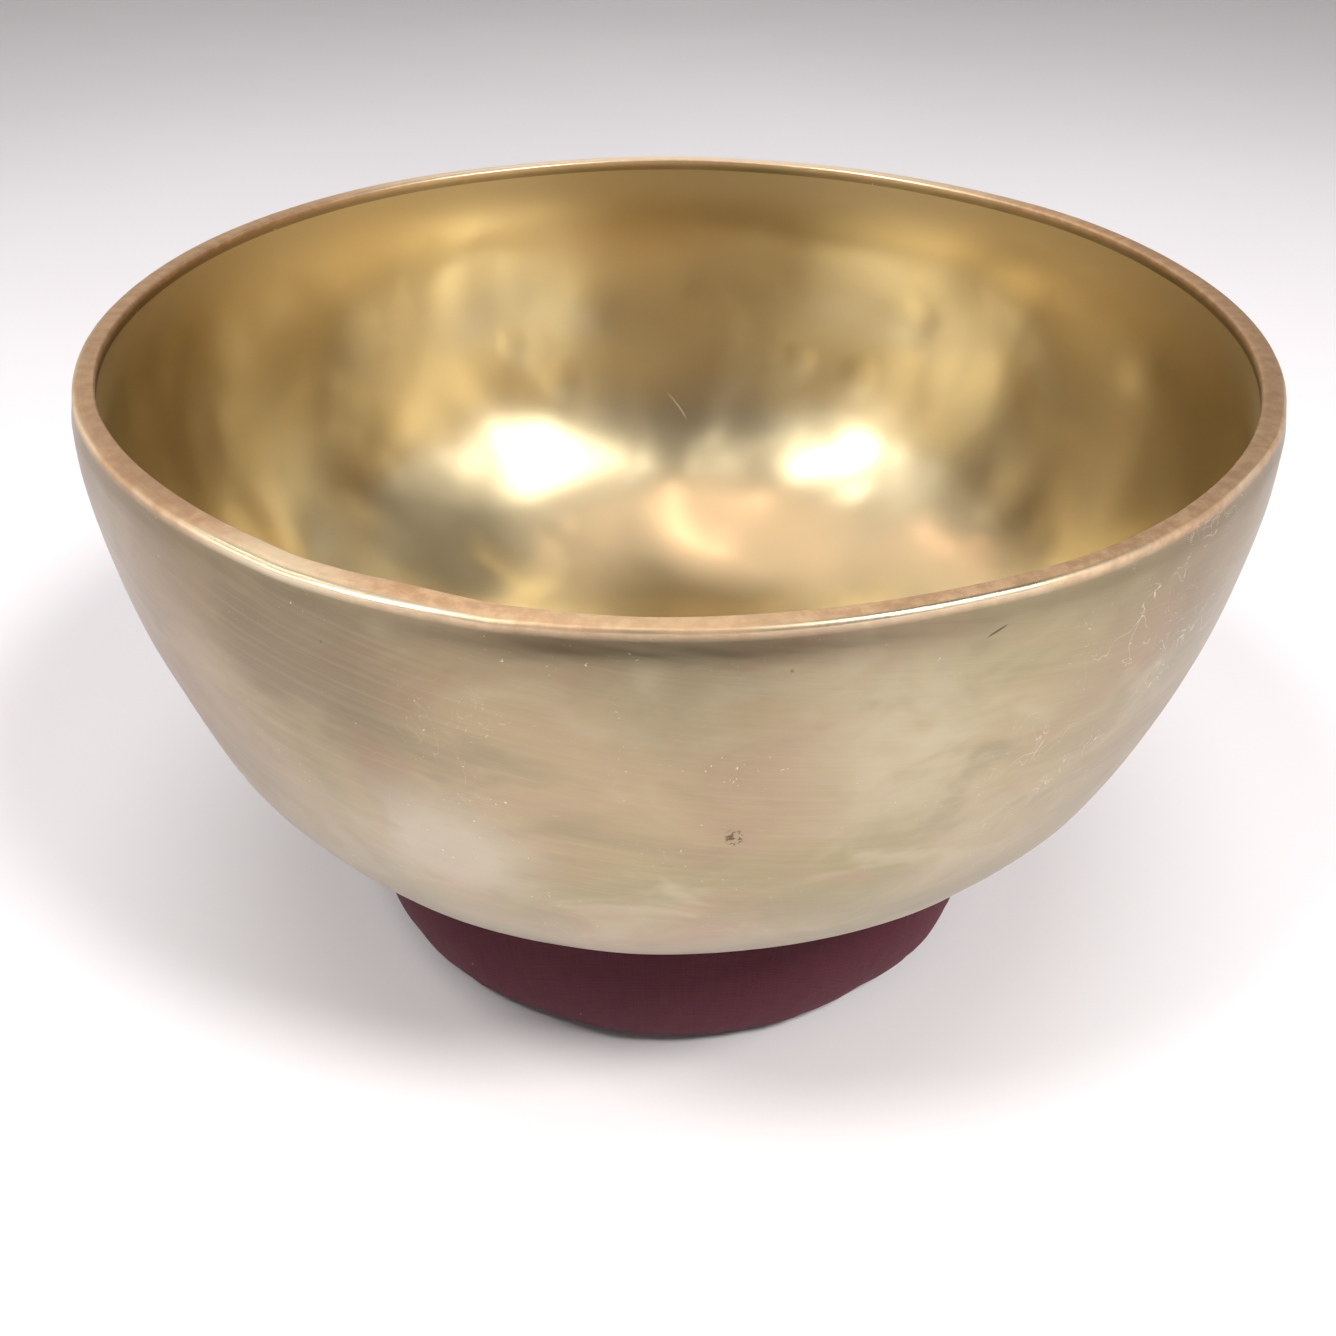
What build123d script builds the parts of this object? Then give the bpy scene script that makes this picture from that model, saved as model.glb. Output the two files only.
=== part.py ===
from build123d import *

import math
import os

# A bronze singing bowl above a ring cushion: a cotton cover over packed fibre,
# with a base panel and sewn seams. Millimetres; the origin is on the floor at
# the middle of the cushion and +Z runs up the bowl's axis.
# Sections are drawn as (radius, height) and revolved about Z.

os.makedirs("parts", exist_ok=True)

# ---------------------------------------------------------------------------
# Bowl dimensions
# ---------------------------------------------------------------------------
bowl_bottom_z = 35.0        # underside of the bowl above the floor
bowl_height = 123.6         # underside of the bowl to the top of its lip
rim_radius = 130.0          # outside radius at the top of the lip
wall_top = 2.2              # wall thickness at the lip end of the outline
wall_bottom = 2.6           # wall thickness at the bottom
lip_width = 4.8             # width of the thickened lip
lip_slope = 0.15            # fall of the lip's top from outer to inner edge
lip_band_height = 9.5       # height of the thick band inside the lip
lip_outer_round = 1.3       # fillet radius for the lip's outer corner
lip_inner_round = 0.8       # fillet radius for the lip's inner corner
band_taper = 0.9            # how much the band thins towards its foot
band_foot_rise = 0.5        # foot of the band above the band's nominal end
band_root_drop = 0.6        # where the band meets the wall, below that end
band_root_inset = 0.1       # the meeting point's inset from the wall
wall_start_drop = 2.5       # the inside wall's points start this far below it

# Outside of the bowl: (radius, height above its underside), lip to bottom.
bowl_outside = [
    (131.10, 118.6), (131.95, 109.9), (131.95, 99.6), (131.15, 90.3),
    (129.80, 80.7), (128.00, 71.1), (125.80, 61.4), (123.05, 51.8),
    (119.50, 42.6), (114.85, 34.2), (109.00, 27.0), (102.20, 20.8),
    (94.70, 15.6), (86.80, 11.1), (78.30, 7.2), (68.90, 4.05),
    (58.40, 1.75), (45.90, 0.45), (29.70, 0.0),
]

# ---------------------------------------------------------------------------
# Cushion dimensions shared by several pieces
# ---------------------------------------------------------------------------
fabric = 0.8                # thickness of the cotton cover
half_fabric = fabric / 2
flange_z = 2.35             # middle of the cover's flat seam allowances
outer_seam_r = 81.0
outer_flange_r = 74.5       # raw edge of the outer allowance
inner_seam_r = 44.2
inner_flange_r = 50.2       # raw edge of the inner allowance

# Middle surface of the cover: (radius, height), from the outer seam over the
# top and down the hole to the inner seam.
cover_line = [
    (outer_seam_r, flange_z),
    (82.20, 2.42), (84.60, 3.35), (87.00, 6.20), (88.35, 11.40),
    (88.30, 18.00), (86.60, 25.20), (83.20, 31.60), (79.00, 35.80),
    (75.20, 37.80), (71.30, 38.45), (67.30, 38.00), (62.00, 36.72),
    (56.00, 35.65), (50.00, 35.02), (46.00, 34.30), (42.20, 32.00),
    (39.30, 27.40), (37.90, 21.00), (37.80, 14.20), (38.80, 8.20),
    (40.90, 4.20), (43.00, 2.60),
    (inner_seam_r, flange_z),
]


def offset_point(points, index, distance):
    """One point moved sideways, to the right of the direction of travel."""
    r, z = points[index]
    r0, z0 = points[max(index - 1, 0)]
    r1, z1 = points[min(index + 1, len(points) - 1)]
    length = math.hypot(r1 - r0, z1 - z0)
    return (r + distance * (z1 - z0) / length, z - distance * (r1 - r0) / length)


def offset_points(points, distance):
    """All the points moved sideways by the same distance."""
    return [offset_point(points, i, distance) for i in range(len(points))]


def save(part, name):
    """Label a part and write its STEP file."""
    part.label = name
    export_step(part, f"parts/{name}.step")


# ---------------------------------------------------------------------------
# Bowl: a thin wall that thickens into a nearly flat-topped lip, whose band
# stands proud of the inside wall.
# ---------------------------------------------------------------------------
top_z = bowl_bottom_z + bowl_height
band_z = top_z - lip_band_height
lip_inner_r = rim_radius - lip_width
bowl_floor_z = bowl_bottom_z + wall_bottom

outside = [(r, bowl_bottom_z + height) for r, height in bowl_outside]
last = len(outside) - 1
inside = [
    offset_point(outside, i, wall_top + (wall_bottom - wall_top) * i / last)
    for i in range(last)
]
inside.append((outside[-1][0], bowl_floor_z))
inside = [point for point in inside if point[1] < band_z - wall_start_drop]
band_root = (inside[0][0] - band_root_inset, band_z - band_root_drop)

with BuildPart() as bowl:
    with BuildSketch(Plane.XZ) as bowl_section:
        with BuildLine():
            Polyline((0, bowl_floor_z), (0, bowl_bottom_z), outside[-1])
            Spline(*reversed(outside))
            Polyline(
                outside[0],
                (rim_radius, top_z),
                (lip_inner_r, top_z - lip_slope),
                (lip_inner_r + band_taper, band_z + band_foot_rise),
                band_root,
            )
            Spline(band_root, *inside)
            Line(inside[-1], (0, bowl_floor_z))
        make_face()
        # Each radius goes to the vertices at that X whose Z is near the top.
        for corner_r, rounding in (
            (rim_radius, lip_outer_round),
            (lip_inner_r, lip_inner_round),
        ):
            corners = bowl_section.vertices()
            fillet(
                [v for v in corners if abs(v.X - corner_r) < 0.01 and v.Z > top_z - 1],
                radius=rounding,
            )
    revolve(axis=Axis.Z)
save(bowl.part, "bowl")

# ---------------------------------------------------------------------------
# Cushion cover: one ring of cotton over the top, down the outside and down
# the hole, with both raw edges turned in under the cushion as allowances.
# ---------------------------------------------------------------------------
flange_bottom_z = flange_z - half_fabric
flange_top_z = flange_z + half_fabric

# The ends are set level with the flat allowances.
skin = offset_points(cover_line, half_fabric)
skin[0] = (outer_seam_r, flange_bottom_z)
skin[-1] = (inner_seam_r, flange_bottom_z)
lining = offset_points(cover_line, -half_fabric)
lining[0] = (outer_seam_r, flange_top_z)
lining[-1] = (inner_seam_r, flange_top_z)

with BuildPart() as cushion_upper_cover:
    with BuildSketch(Plane.XZ):
        with BuildLine():
            Line((outer_flange_r, flange_bottom_z), skin[0])
            Spline(*skin)
            Polyline(
                skin[-1],
                (inner_flange_r, flange_bottom_z),
                (inner_flange_r, flange_top_z),
                lining[-1],
            )
            Spline(*reversed(lining))
            Polyline(
                lining[0],
                (outer_flange_r, flange_top_z),
                (outer_flange_r, flange_bottom_z),
            )
        make_face()
    revolve(axis=Axis.Z)
save(cushion_upper_cover.part, "cushion_upper_cover")

# ---------------------------------------------------------------------------
# Base panel: flat ring on the floor. Each edge folds up and back over itself,
# so that its allowance lies under the cover's allowance.
# ---------------------------------------------------------------------------
base_t = 0.7                            # thickness of the panel
allowance_high = 1.9                    # top of the folded allowances
allowance_low = allowance_high - base_t
fold_radius = allowance_high / 2        # outside of the fold
fold_inner_radius = fold_radius - base_t
outer_fold_r = outer_seam_r - 0.2       # where the outer fold begins

with BuildPart() as cushion_base_panel:
    with BuildSketch(Plane.XZ):
        with BuildLine():
            Line((inner_seam_r, 0), (outer_fold_r, 0))
            ThreePointArc(
                (outer_fold_r, 0),
                (outer_fold_r + fold_radius, fold_radius),
                (outer_fold_r, allowance_high),
            )
            Polyline(
                (outer_fold_r, allowance_high),
                (outer_flange_r, allowance_high),
                (outer_flange_r, allowance_low),
                (outer_fold_r, allowance_low),
            )
            ThreePointArc(
                (outer_fold_r, allowance_low),
                (outer_fold_r + fold_inner_radius, fold_radius),
                (outer_fold_r, base_t),
            )
            Line((outer_fold_r, base_t), (inner_seam_r, base_t))
            ThreePointArc(
                (inner_seam_r, base_t),
                (inner_seam_r - fold_inner_radius, fold_radius),
                (inner_seam_r, allowance_low),
            )
            Polyline(
                (inner_seam_r, allowance_low),
                (inner_flange_r, allowance_low),
                (inner_flange_r, allowance_high),
                (inner_seam_r, allowance_high),
            )
            ThreePointArc(
                (inner_seam_r, allowance_high),
                (inner_seam_r - fold_radius, fold_radius),
                (inner_seam_r, 0),
            )
        make_face()
    revolve(axis=Axis.Z)
save(cushion_base_panel.part, "cushion_base_panel")

# ---------------------------------------------------------------------------
# Filling: a ring of packed fibre inside the cover. Its underside passes over
# the seam allowances and dips towards the base panel between them.
# ---------------------------------------------------------------------------
fill_gap = 0.25             # between the filling and the cover's lining
fill_low = 0.85             # flat underside between the allowances
over_stitch = 3.55          # underside above the seam threads
over_flange_edge = over_stitch - 0.15

# The cover's end points, next to the seams, are left out at both ends.
fill_top = offset_points(cover_line, -(half_fabric + fill_gap))[3:-3]

# Underside, as (radius, height), on the hole's side and on the outer side.
fill_inner_underside = [
    (42.6, 4.9), (45.4, over_stitch), (49.8, over_flange_edge),
    (52.6, 1.35), (54.8, fill_low), (57.0, fill_low),
]
fill_outer_underside = [
    (67.8, fill_low), (70.0, fill_low), (72.2, 1.35),
    (75.0, over_flange_edge), (79.6, over_stitch), (84.6, 6.2),
]

with BuildPart() as cushion_filling:
    with BuildSketch(Plane.XZ):
        with BuildLine():
            Spline(*fill_top)
            Spline(fill_top[-1], *fill_inner_underside)
            Line(fill_inner_underside[-1], fill_outer_underside[0])
            Spline(*fill_outer_underside, fill_top[0])
        make_face()
    revolve(axis=Axis.Z)
save(cushion_filling.part, "cushion_filling")

# ---------------------------------------------------------------------------
# Seam threads: each ring seam has one continuous thread, which lies along the
# top of the cover's seam allowance, inside the cushion.
# ---------------------------------------------------------------------------
thread_radius = 0.2
thread_gap = 0.02           # between the thread and the allowance
thread_z = flange_top_z + thread_radius + thread_gap
outer_stitch_r = outer_seam_r - 1.8
inner_stitch_r = inner_seam_r + 1.6


def save_seam_thread(name, ring_radius):
    with BuildPart() as thread:
        with BuildSketch(Plane.XZ):
            with Locations((ring_radius, thread_z)):
                Circle(thread_radius)
        revolve(axis=Axis.Z)
    save(thread.part, name)


save_seam_thread("outer_seam_thread", outer_stitch_r)
save_seam_thread("inner_seam_thread", inner_stitch_r)

# ---------------------------------------------------------------------------
# Closing stitches: slanted hand-sewn loops that draw the cover and the base
# panel together along the stuffing gap in the outer seam.
# ---------------------------------------------------------------------------
closing_pitch = 4.0         # along the seam
closing_arc = 34.0          # degrees of the outer seam left for stuffing
closing_at = 90.0           # degrees; the gap faces +Y
closing_r = outer_seam_r + 0.55
closing_z = 1.75
closing_loop = 1.25         # radius of a loop, to the middle of the thread
closing_thread_radius = 0.22
closing_slant = 22.0        # degrees

closing_count = int(math.radians(closing_arc) * closing_r / closing_pitch)
closing_step = math.degrees(closing_pitch / closing_r)
closing_places = []
for k in range(closing_count):
    angle = closing_at + (k - (closing_count - 1) / 2) * closing_step
    turn = math.radians(angle)
    centre = (closing_r * math.cos(turn), closing_r * math.sin(turn), closing_z)
    closing_places.append(Location(centre, (90, closing_slant, angle)))

with BuildPart() as closing_stitch_thread:
    with Locations(*closing_places):
        Torus(closing_loop, closing_thread_radius)
save(closing_stitch_thread.part, "closing_stitch_thread")
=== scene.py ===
"""A hammered bronze bowl resting on a sewn ring cushion of maroon cotton.

Both stand upright about the Z axis, with the floor at z = 0. The front faces -Y and +X is
to the right. Shapes are worked out in millimetres and become metres in make_mesh.
"""
import math
from types import SimpleNamespace

import bmesh
import bpy
import numpy as np
from mathutils import Matrix, Vector


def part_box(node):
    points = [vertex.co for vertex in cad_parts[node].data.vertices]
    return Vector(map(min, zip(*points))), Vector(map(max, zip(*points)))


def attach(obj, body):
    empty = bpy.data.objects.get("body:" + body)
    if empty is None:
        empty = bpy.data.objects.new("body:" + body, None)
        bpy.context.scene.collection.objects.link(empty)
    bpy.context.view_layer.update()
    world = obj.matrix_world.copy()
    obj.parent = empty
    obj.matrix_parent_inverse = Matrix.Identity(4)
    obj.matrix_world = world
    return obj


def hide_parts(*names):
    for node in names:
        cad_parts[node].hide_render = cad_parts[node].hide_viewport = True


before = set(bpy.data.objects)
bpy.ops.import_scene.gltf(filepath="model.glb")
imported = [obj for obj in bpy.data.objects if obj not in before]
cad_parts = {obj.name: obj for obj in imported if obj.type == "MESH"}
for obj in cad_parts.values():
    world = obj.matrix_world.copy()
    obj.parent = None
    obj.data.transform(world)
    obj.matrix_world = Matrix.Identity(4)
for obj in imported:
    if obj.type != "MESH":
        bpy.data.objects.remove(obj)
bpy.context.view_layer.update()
scene = bpy.context.scene
MM = 0.001


# ---------------------------------------------------------------------------
# Curves and fields
# ---------------------------------------------------------------------------
def smooth(start, end, x):
    """Eases from 0 at start to 1 at end."""
    share = np.clip((x - start) / (end - start), 0, 1)
    return share * share * (3 - 2 * share)


def steps(curve):
    return np.hypot(*np.diff(curve, axis=0).T)


def distances(curve):
    """The length along a curve at each of its points."""
    return np.r_[0, np.cumsum(steps(curve))]


def resample(curve, at):
    along = distances(curve)
    return np.stack([np.interp(at, along, curve[:, k]) for k in (0, 1)], -1)


def spline(points, count):
    """A natural cubic curve through the points, resampled to an even spacing."""
    points = np.array(points, float)
    knots = distances(points)
    number = len(knots)
    gap = np.diff(knots)
    inner = np.arange(1, number - 1)
    system = np.eye(number)
    system[inner, inner - 1] = gap[:-1]
    system[inner, inner] = 2 * (gap[:-1] + gap[1:])
    system[inner, inner + 1] = gap[1:]
    fine = np.linspace(0, knots[-1], 4000)
    span = np.clip(np.searchsorted(knots, fine) - 1, 0, number - 2)
    past, width = fine - knots[span], gap[span]
    columns = []
    for value in points.T:
        slope = np.diff(value) / gap
        target = np.zeros(number)
        target[1:-1] = 6 * np.diff(slope)
        bend = np.linalg.solve(system, target)
        here, after = bend[span], bend[span + 1]
        columns.append(value[span] + past * (slope[span] - width * (2 * here + after) / 6)
                       + past ** 2 * here / 2 + past ** 3 * (after - here) / (6 * width))
    curve = np.stack(columns, -1)
    return resample(curve, np.linspace(0, distances(curve)[-1], count))


def section_normals(curve):
    tangent = np.gradient(curve, axis=0)
    tangent /= np.hypot(*tangent.T)[:, None]
    return np.stack([tangent[:, 1], -tangent[:, 0]], -1)


def turned(section, angle):
    """A section (rows, 2) or (rows, columns, 2) of radius and height, swept round the axis."""
    section = np.asarray(section)
    if section.ndim == 2:
        section = np.repeat(section[:, None], len(angle), 1)
    radius, z = section[..., 0], section[..., 1]
    return np.stack([radius * np.cos(angle), radius * np.sin(angle), z], -1)


def degrees_apart(first, second):
    return (first - second + 180) % 360 - 180


def unevenness(angle, waves, bumps=()):
    """A sum round the ring of waves (times round, size, phase)
    and bumps (azimuth, width, size) in degrees."""
    total = 0
    for times, size, phase in waves:
        total = total + size * np.cos(times * angle + phase)
    for azimuth, width, size in bumps:
        away = degrees_apart(np.degrees(angle), azimuth)
        total = total + size * np.exp(-(away / width) ** 2)
    return total


class Waves:
    """A smooth random field made of many plane waves; the same every run."""

    def __init__(self, seed, shortest, longest, count=48):
        random = np.random.default_rng(seed)
        direction = random.normal(size=(count, 3))
        direction /= np.linalg.norm(direction, axis=1)[:, None]
        length = np.exp(random.uniform(np.log(shortest), np.log(longest), count))
        self.pace = direction * (2 * np.pi / length)[:, None]
        self.size = np.sqrt(length / length.mean())
        self.size /= np.sqrt((self.size ** 2).sum() / 2)
        self.phase = random.uniform(0, 2 * np.pi, count)

    def __call__(self, points):
        total = np.zeros(points.shape[:-1])
        for pace, size, phase in zip(self.pace, self.size, self.phase):
            total += size * np.cos(points @ pace + phase)
        return total


# ---------------------------------------------------------------------------
# Meshes
# ---------------------------------------------------------------------------
def grid_quads(rows, columns, first=0, closed=True):
    """Quads over rings of points; closed also joins the last ring to the first."""
    here = first + np.arange(rows * columns).reshape(rows, columns)
    after = np.roll(here, -1, 0)
    if not closed:
        here, after = here[:-1], after[:-1]
    corners = [here, np.roll(here, -1, 1), np.roll(after, -1, 1), after]
    return np.stack(corners, -1).reshape(-1, 4)


def fan(tip, ring, backward=False):
    """Triangles from one point to a ring of points."""
    pairs = zip(ring.tolist(), np.roll(ring, -1).tolist())
    return [[tip, after, here] if backward else [tip, here, after] for here, after in pairs]


def make_mesh(name, points, faces, attributes=None):
    mesh = bpy.data.meshes.new(name)
    mesh.from_pydata((np.asarray(points) * MM).tolist(), [], faces)
    mesh.update()
    mesh.polygons.foreach_set("use_smooth", np.ones(len(mesh.polygons), bool))
    for key, values in (attributes or {}).items():
        attribute = mesh.attributes.new(key, "FLOAT", "POINT")
        attribute.data.foreach_set("value", np.asarray(values, np.float32))
    made = bpy.data.objects.new(name, mesh)
    scene.collection.objects.link(made)
    return made


def ring_mesh(name, grid, attributes=None):
    """A mesh over a grid of points (rows, columns, 3) that closes both ways."""
    quads = grid_quads(*grid.shape[:2]).tolist()
    return make_mesh(name, grid.reshape(-1, 3), quads, attributes)


def face_outward(made):
    work = bmesh.new()
    work.from_mesh(made.data)
    bmesh.ops.recalc_face_normals(work, faces=work.faces)
    work.to_mesh(made.data)
    work.free()


def fit(made, piece, rides):
    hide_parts(piece)
    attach(made, rides)


# ---------------------------------------------------------------------------
# Shader nodes
# ---------------------------------------------------------------------------
class Value:
    """A node output that takes part in sums; each sum adds a math node."""

    def __init__(self, socket):
        self.socket = socket

    def __add__(self, other):
        return calc("ADD", self, other)

    def __radd__(self, other):
        return calc("ADD", other, self)

    def __sub__(self, other):
        return calc("SUBTRACT", self, other)

    def __mul__(self, other):
        return calc("MULTIPLY", self, other)

    def __truediv__(self, other):
        return calc("DIVIDE", self, other)

    def __abs__(self):
        return calc("ABSOLUTE", self)


def node(kind, **settings):
    """A new node in the tree being built."""
    made = tree.nodes.new(kind)
    for key, value in settings.items():
        setattr(made, key, value)
    return made


def put(socket, value):
    """Links a Value to an input, or sets the input to a number or colour."""
    if isinstance(value, Value):
        tree.links.new(value.socket, socket)
    elif isinstance(value, tuple) and socket.type == "RGBA":
        socket.default_value = (*value, 1.0)
    elif value is not None:
        socket.default_value = value


def filled(made, inputs, output=0):
    """Fills a node's inputs by name or number and gives back one of its outputs."""
    for key, value in inputs.items():
        put(made.inputs[key], value)
    return Value(made.outputs[output])


def calc(operation, *values):
    return filled(node("ShaderNodeMath", operation=operation), dict(enumerate(values)))


def clamped(value):
    value.socket.node.use_clamp = True
    return value


def maximum(first, second):
    return calc("MAXIMUM", first, second)


def measure(operation, *vectors):
    """A distance, length or dot product of vectors."""
    made = node("ShaderNodeVectorMath", operation=operation)
    return filled(made, dict(enumerate(vectors)), output=1)


def ramp(value, over, to=(0.0, 1.0)):
    """Eases from to[0] to to[1] as the value goes from over[0] to over[1]."""
    return filled(node("ShaderNodeMapRange", interpolation_type="SMOOTHSTEP"), {
        "Value": value, "From Min": over[0], "From Max": over[1], "To Min": to[0], "To Max": to[1]})


def mix(factor, first, second, blend="MIX"):
    made = node("ShaderNodeMix", data_type="RGBA", blend_type=blend, clamp_factor=True)
    return filled(made, {0: factor, 6: first, 7: second}, output=2)


def mix_float(factor, first, second):
    return filled(node("ShaderNodeMix", data_type="FLOAT"), {0: factor, 2: first, 3: second})


def layered(colour, *coats):
    """Lays tints over a colour, each one through its mask."""
    for mask, tint in coats:
        colour = mix(mask, colour, tint)
    return colour


def mapped(vector, stretch, offset=(0, 0, 0)):
    made = node("ShaderNodeMapping")
    return filled(made, {"Vector": vector, "Scale": stretch, "Location": offset})


def noise(vector, stretch=None, offset=(0, 0, 0), detail=2.0, rough=0.6, bend=0.0, scale=1.0):
    if stretch is not None:
        vector = mapped(vector, stretch, offset)
    return filled(node("ShaderNodeTexNoise"), {
        "Vector": vector, "Scale": scale, "Detail": detail, "Roughness": rough,
        "Distortion": bend}, output="Fac")


def cells(vector, stretch, offset):
    """A cell pattern: the distance to the nearest cell point and the cell's colour."""
    made = node("ShaderNodeTexVoronoi", feature="F1")
    near = filled(made, {"Vector": mapped(vector, stretch, offset), "Scale": 1.0}, "Distance")
    return near, Value(made.outputs["Color"])


def attribute(name):
    return Value(node("ShaderNodeAttribute", attribute_name=name).outputs["Fac"])


def coordinate(kind="Object"):
    return Value(node("ShaderNodeTexCoord").outputs[kind])


def separate(vector):
    made = node("ShaderNodeSeparateXYZ")
    put(made.inputs[0], vector)
    return [Value(socket) for socket in made.outputs]


def combine(x, y, z):
    return filled(node("ShaderNodeCombineXYZ"), {0: x, 1: y, 2: z})


def bump(height, strength, distance, under=None):
    return filled(node("ShaderNodeBump"), {
        "Height": height, "Strength": strength, "Distance": distance, "Normal": under})


def principled(inputs):
    return filled(node("ShaderNodeBsdfPrincipled"), inputs)


def lay_nodes(owner, build, kind):
    """Lays out the nodes of a material or world; build() gives its shader."""
    global tree
    owner.use_nodes = True
    tree = owner.node_tree
    tree.nodes.clear()
    filled_output = node("ShaderNodeOutput" + kind)
    put(filled_output.inputs[0], build())
    return owner


def material(name, build):
    return lay_nodes(bpy.data.materials.new(name), build, "Material")


# ---------------------------------------------------------------------------
# Bowl section: one line from the middle of the underside, over the lip, to the
# middle of the floor inside
# ---------------------------------------------------------------------------
bowl_low, bowl_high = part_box("bowl")
base_z = bowl_low.z / MM                     # underside of the bowl
top_z = bowl_high.z / MM                     # top of the lip
RIM = 130.0                                  # outside radius at the lip
LIP = 4.8                                    # width of the lip
WALL_TOP, WALL_LOW = 2.2, 2.6                # wall thickness above and below
N_THETA = 640              # points round the bowl
STEP = 2.0                 # spacing along the section
OUTER_RUN, INNER_RUN, FLAT_RUN = 176, 184, 30    # lengths that set the number of steps

# Outside wall from top to bottom. Columns: radius, height above the underside.
OUTSIDE = [
    (131.10, 118.6), (131.95, 109.9), (131.95, 99.6), (131.15, 90.3), (129.80, 80.7),
    (128.00, 71.1), (125.80, 61.4), (123.05, 51.8), (119.50, 42.6), (114.85, 34.2),
    (109.00, 27.0), (102.20, 20.8), (94.70, 15.6), (86.80, 11.1), (78.30, 7.2),
    (68.90, 4.05), (58.40, 1.75), (45.90, 0.45), (29.70, 0.0),
]
outside = [(radius, base_z + height) for radius, height in OUTSIDE]

# Below the lip, inside. Columns: distance out from the lip's inner edge, depth below the top.
UNDER_LIP = [(0.05, 1.2), (1.05, 8.0), (2.30, 16.0), (3.30, 24.0), (3.45, 32.0), (2.75, 40.0)]
INSIDE_STARTS = 44.0        # depth where the inside begins to follow the outside
BAND_DEPTHS = (1.2, 1.8, 2.5, 3.2, 4.0)      # rows just under the lip
BAND_SLOPE = 0.147
BAND_ENDS = 4.6


def inside_wall():
    """The outside wall moved inward by the wall's thickness."""
    wall = []
    last = len(outside) - 1
    for k, (radius, z) in enumerate(outside):
        thick = WALL_TOP + (WALL_LOW - WALL_TOP) * (k / last)
        before, after = outside[max(k - 1, 0)], outside[min(k + 1, last)]
        if k == last:
            before, after = (radius, z), (radius - 1.0, z)
        run, rise = after[0] - before[0], after[1] - before[1]
        length = math.hypot(run, rise)
        wall.append((radius + thick * rise / length, z - thick * run / length))
    return [point for point in wall if point[1] < top_z - INSIDE_STARTS]


def arc(radius, z, bend, start, end, count):
    """An arc of radius bend about (radius, z), between angles in degrees."""
    angles = np.radians(np.linspace(start, end, count))
    return [(radius + bend * math.cos(a), z + bend * math.sin(a)) for a in angles]


def lip_section():
    """Over the lip: a rounded outer edge, a nearly flat top and a tighter inner edge."""
    inner = RIM - LIP
    flat = [(x, top_z - 0.04 * ((x - (RIM - 1.6)) / 3.0) ** 2 - 0.02 * (RIM - 1.2 - x))
            for x in np.linspace(RIM - 1.5, inner + 0.75, 7)]
    return [*arc(RIM - 1.15, top_z - 1.15, bend=1.15, start=0, end=84, count=9), *flat,
            *arc(inner + 0.60, top_z - 0.72, bend=0.60, start=84, end=180, count=7)]


def bowl_section(lip_curve):
    lip_in = RIM - LIP
    inside = inside_wall()
    flat_count = int(FLAT_RUN / STEP) + 1
    flat_out = [(r, base_z) for r in np.linspace(0, outside[-1][0], flat_count)[:-1]]
    outer_curve = spline(outside[::-1], int(OUTER_RUN / STEP))
    edge_z = top_z - 1.2
    shoulder = [(np.interp(z, [outside[0][1], edge_z], [outside[0][0], RIM]), z)
                for z in np.linspace(outside[0][1], edge_z, 5)[1:]]
    band = [(lip_in + 0.05 + BAND_SLOPE * (d - 1.2), top_z - d) for d in BAND_DEPTHS]
    under = [(lip_in + out, top_z - down) for out, down in UNDER_LIP]
    inner_curve = spline(under + inside, int(INNER_RUN / STEP))
    inner_curve = [point for point in inner_curve if point[1] < top_z - BAND_ENDS]
    flat_in = [(r, base_z + WALL_LOW) for r in np.linspace(inside[-1][0], 0, flat_count)[1:]]
    section = np.array([*flat_out, *outer_curve[:-1], outside[0], *shoulder[:-1], *lip_curve,
                        *band, *inner_curve, *flat_in])
    return section[np.r_[True, steps(section) > 0.05]]


lip_curve = lip_section()
profile = bowl_section(lip_curve)
rows = len(profile)
row = np.arange(rows)
turn = int(np.argmax(profile[:, 1]))           # the row at the lip's top
depth = top_z - profile[:, 1]
is_inside = np.where(row > turn, 1.0, 0.0)
theta = np.linspace(0, 2 * np.pi, N_THETA, endpoint=False)
skin = turned(profile, theta)
skin_normals = turned(section_normals(profile), theta)

# ---------------------------------------------------------------------------
# Bowl lip, worked by hand
# ---------------------------------------------------------------------------
# The lip as the hammer and file left it.
# Columns: azimuth (270 faces the front), outside radius, width.
LIP_TABLE = np.array([
    (0, 130.4, 5.0), (20, 130.1, 4.7), (42, 129.7, 4.9), (66, 130.0, 4.5), (88, 130.2, 4.4),
    (110, 129.9, 4.8), (132, 130.2, 5.1), (154, 130.5, 4.7), (176, 130.2, 4.6),
    (194, 130.3, 4.5), (206, 130.4, 4.6), (215, 129.7, 4.8), (224, 129.2, 5.0),
    (233, 129.2, 5.1), (240, 129.5, 5.1), (246, 130.0, 5.4), (250, 130.2, 5.9),
    (255, 130.1, 5.3), (261, 129.9, 4.5), (268, 129.5, 3.9), (277, 129.2, 4.3),
    (285, 128.9, 4.1), (292, 128.9, 3.9), (300, 129.6, 4.0), (312, 129.8, 3.9),
    (322, 130.0, 4.0), (330, 130.7, 4.6), (342, 130.7, 4.9), (360, 130.4, 5.0),
])


def round_the_lip(column, blur):
    """A column of the lip table at every azimuth, softened over blur degrees."""
    azimuth = np.degrees(theta)
    value = np.interp(azimuth, LIP_TABLE[:, 0], LIP_TABLE[:, column])
    weight = np.exp(-(degrees_apart(azimuth[:, None], azimuth[None]) / blur) ** 2)
    return (weight @ value) / weight.sum(1)


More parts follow.
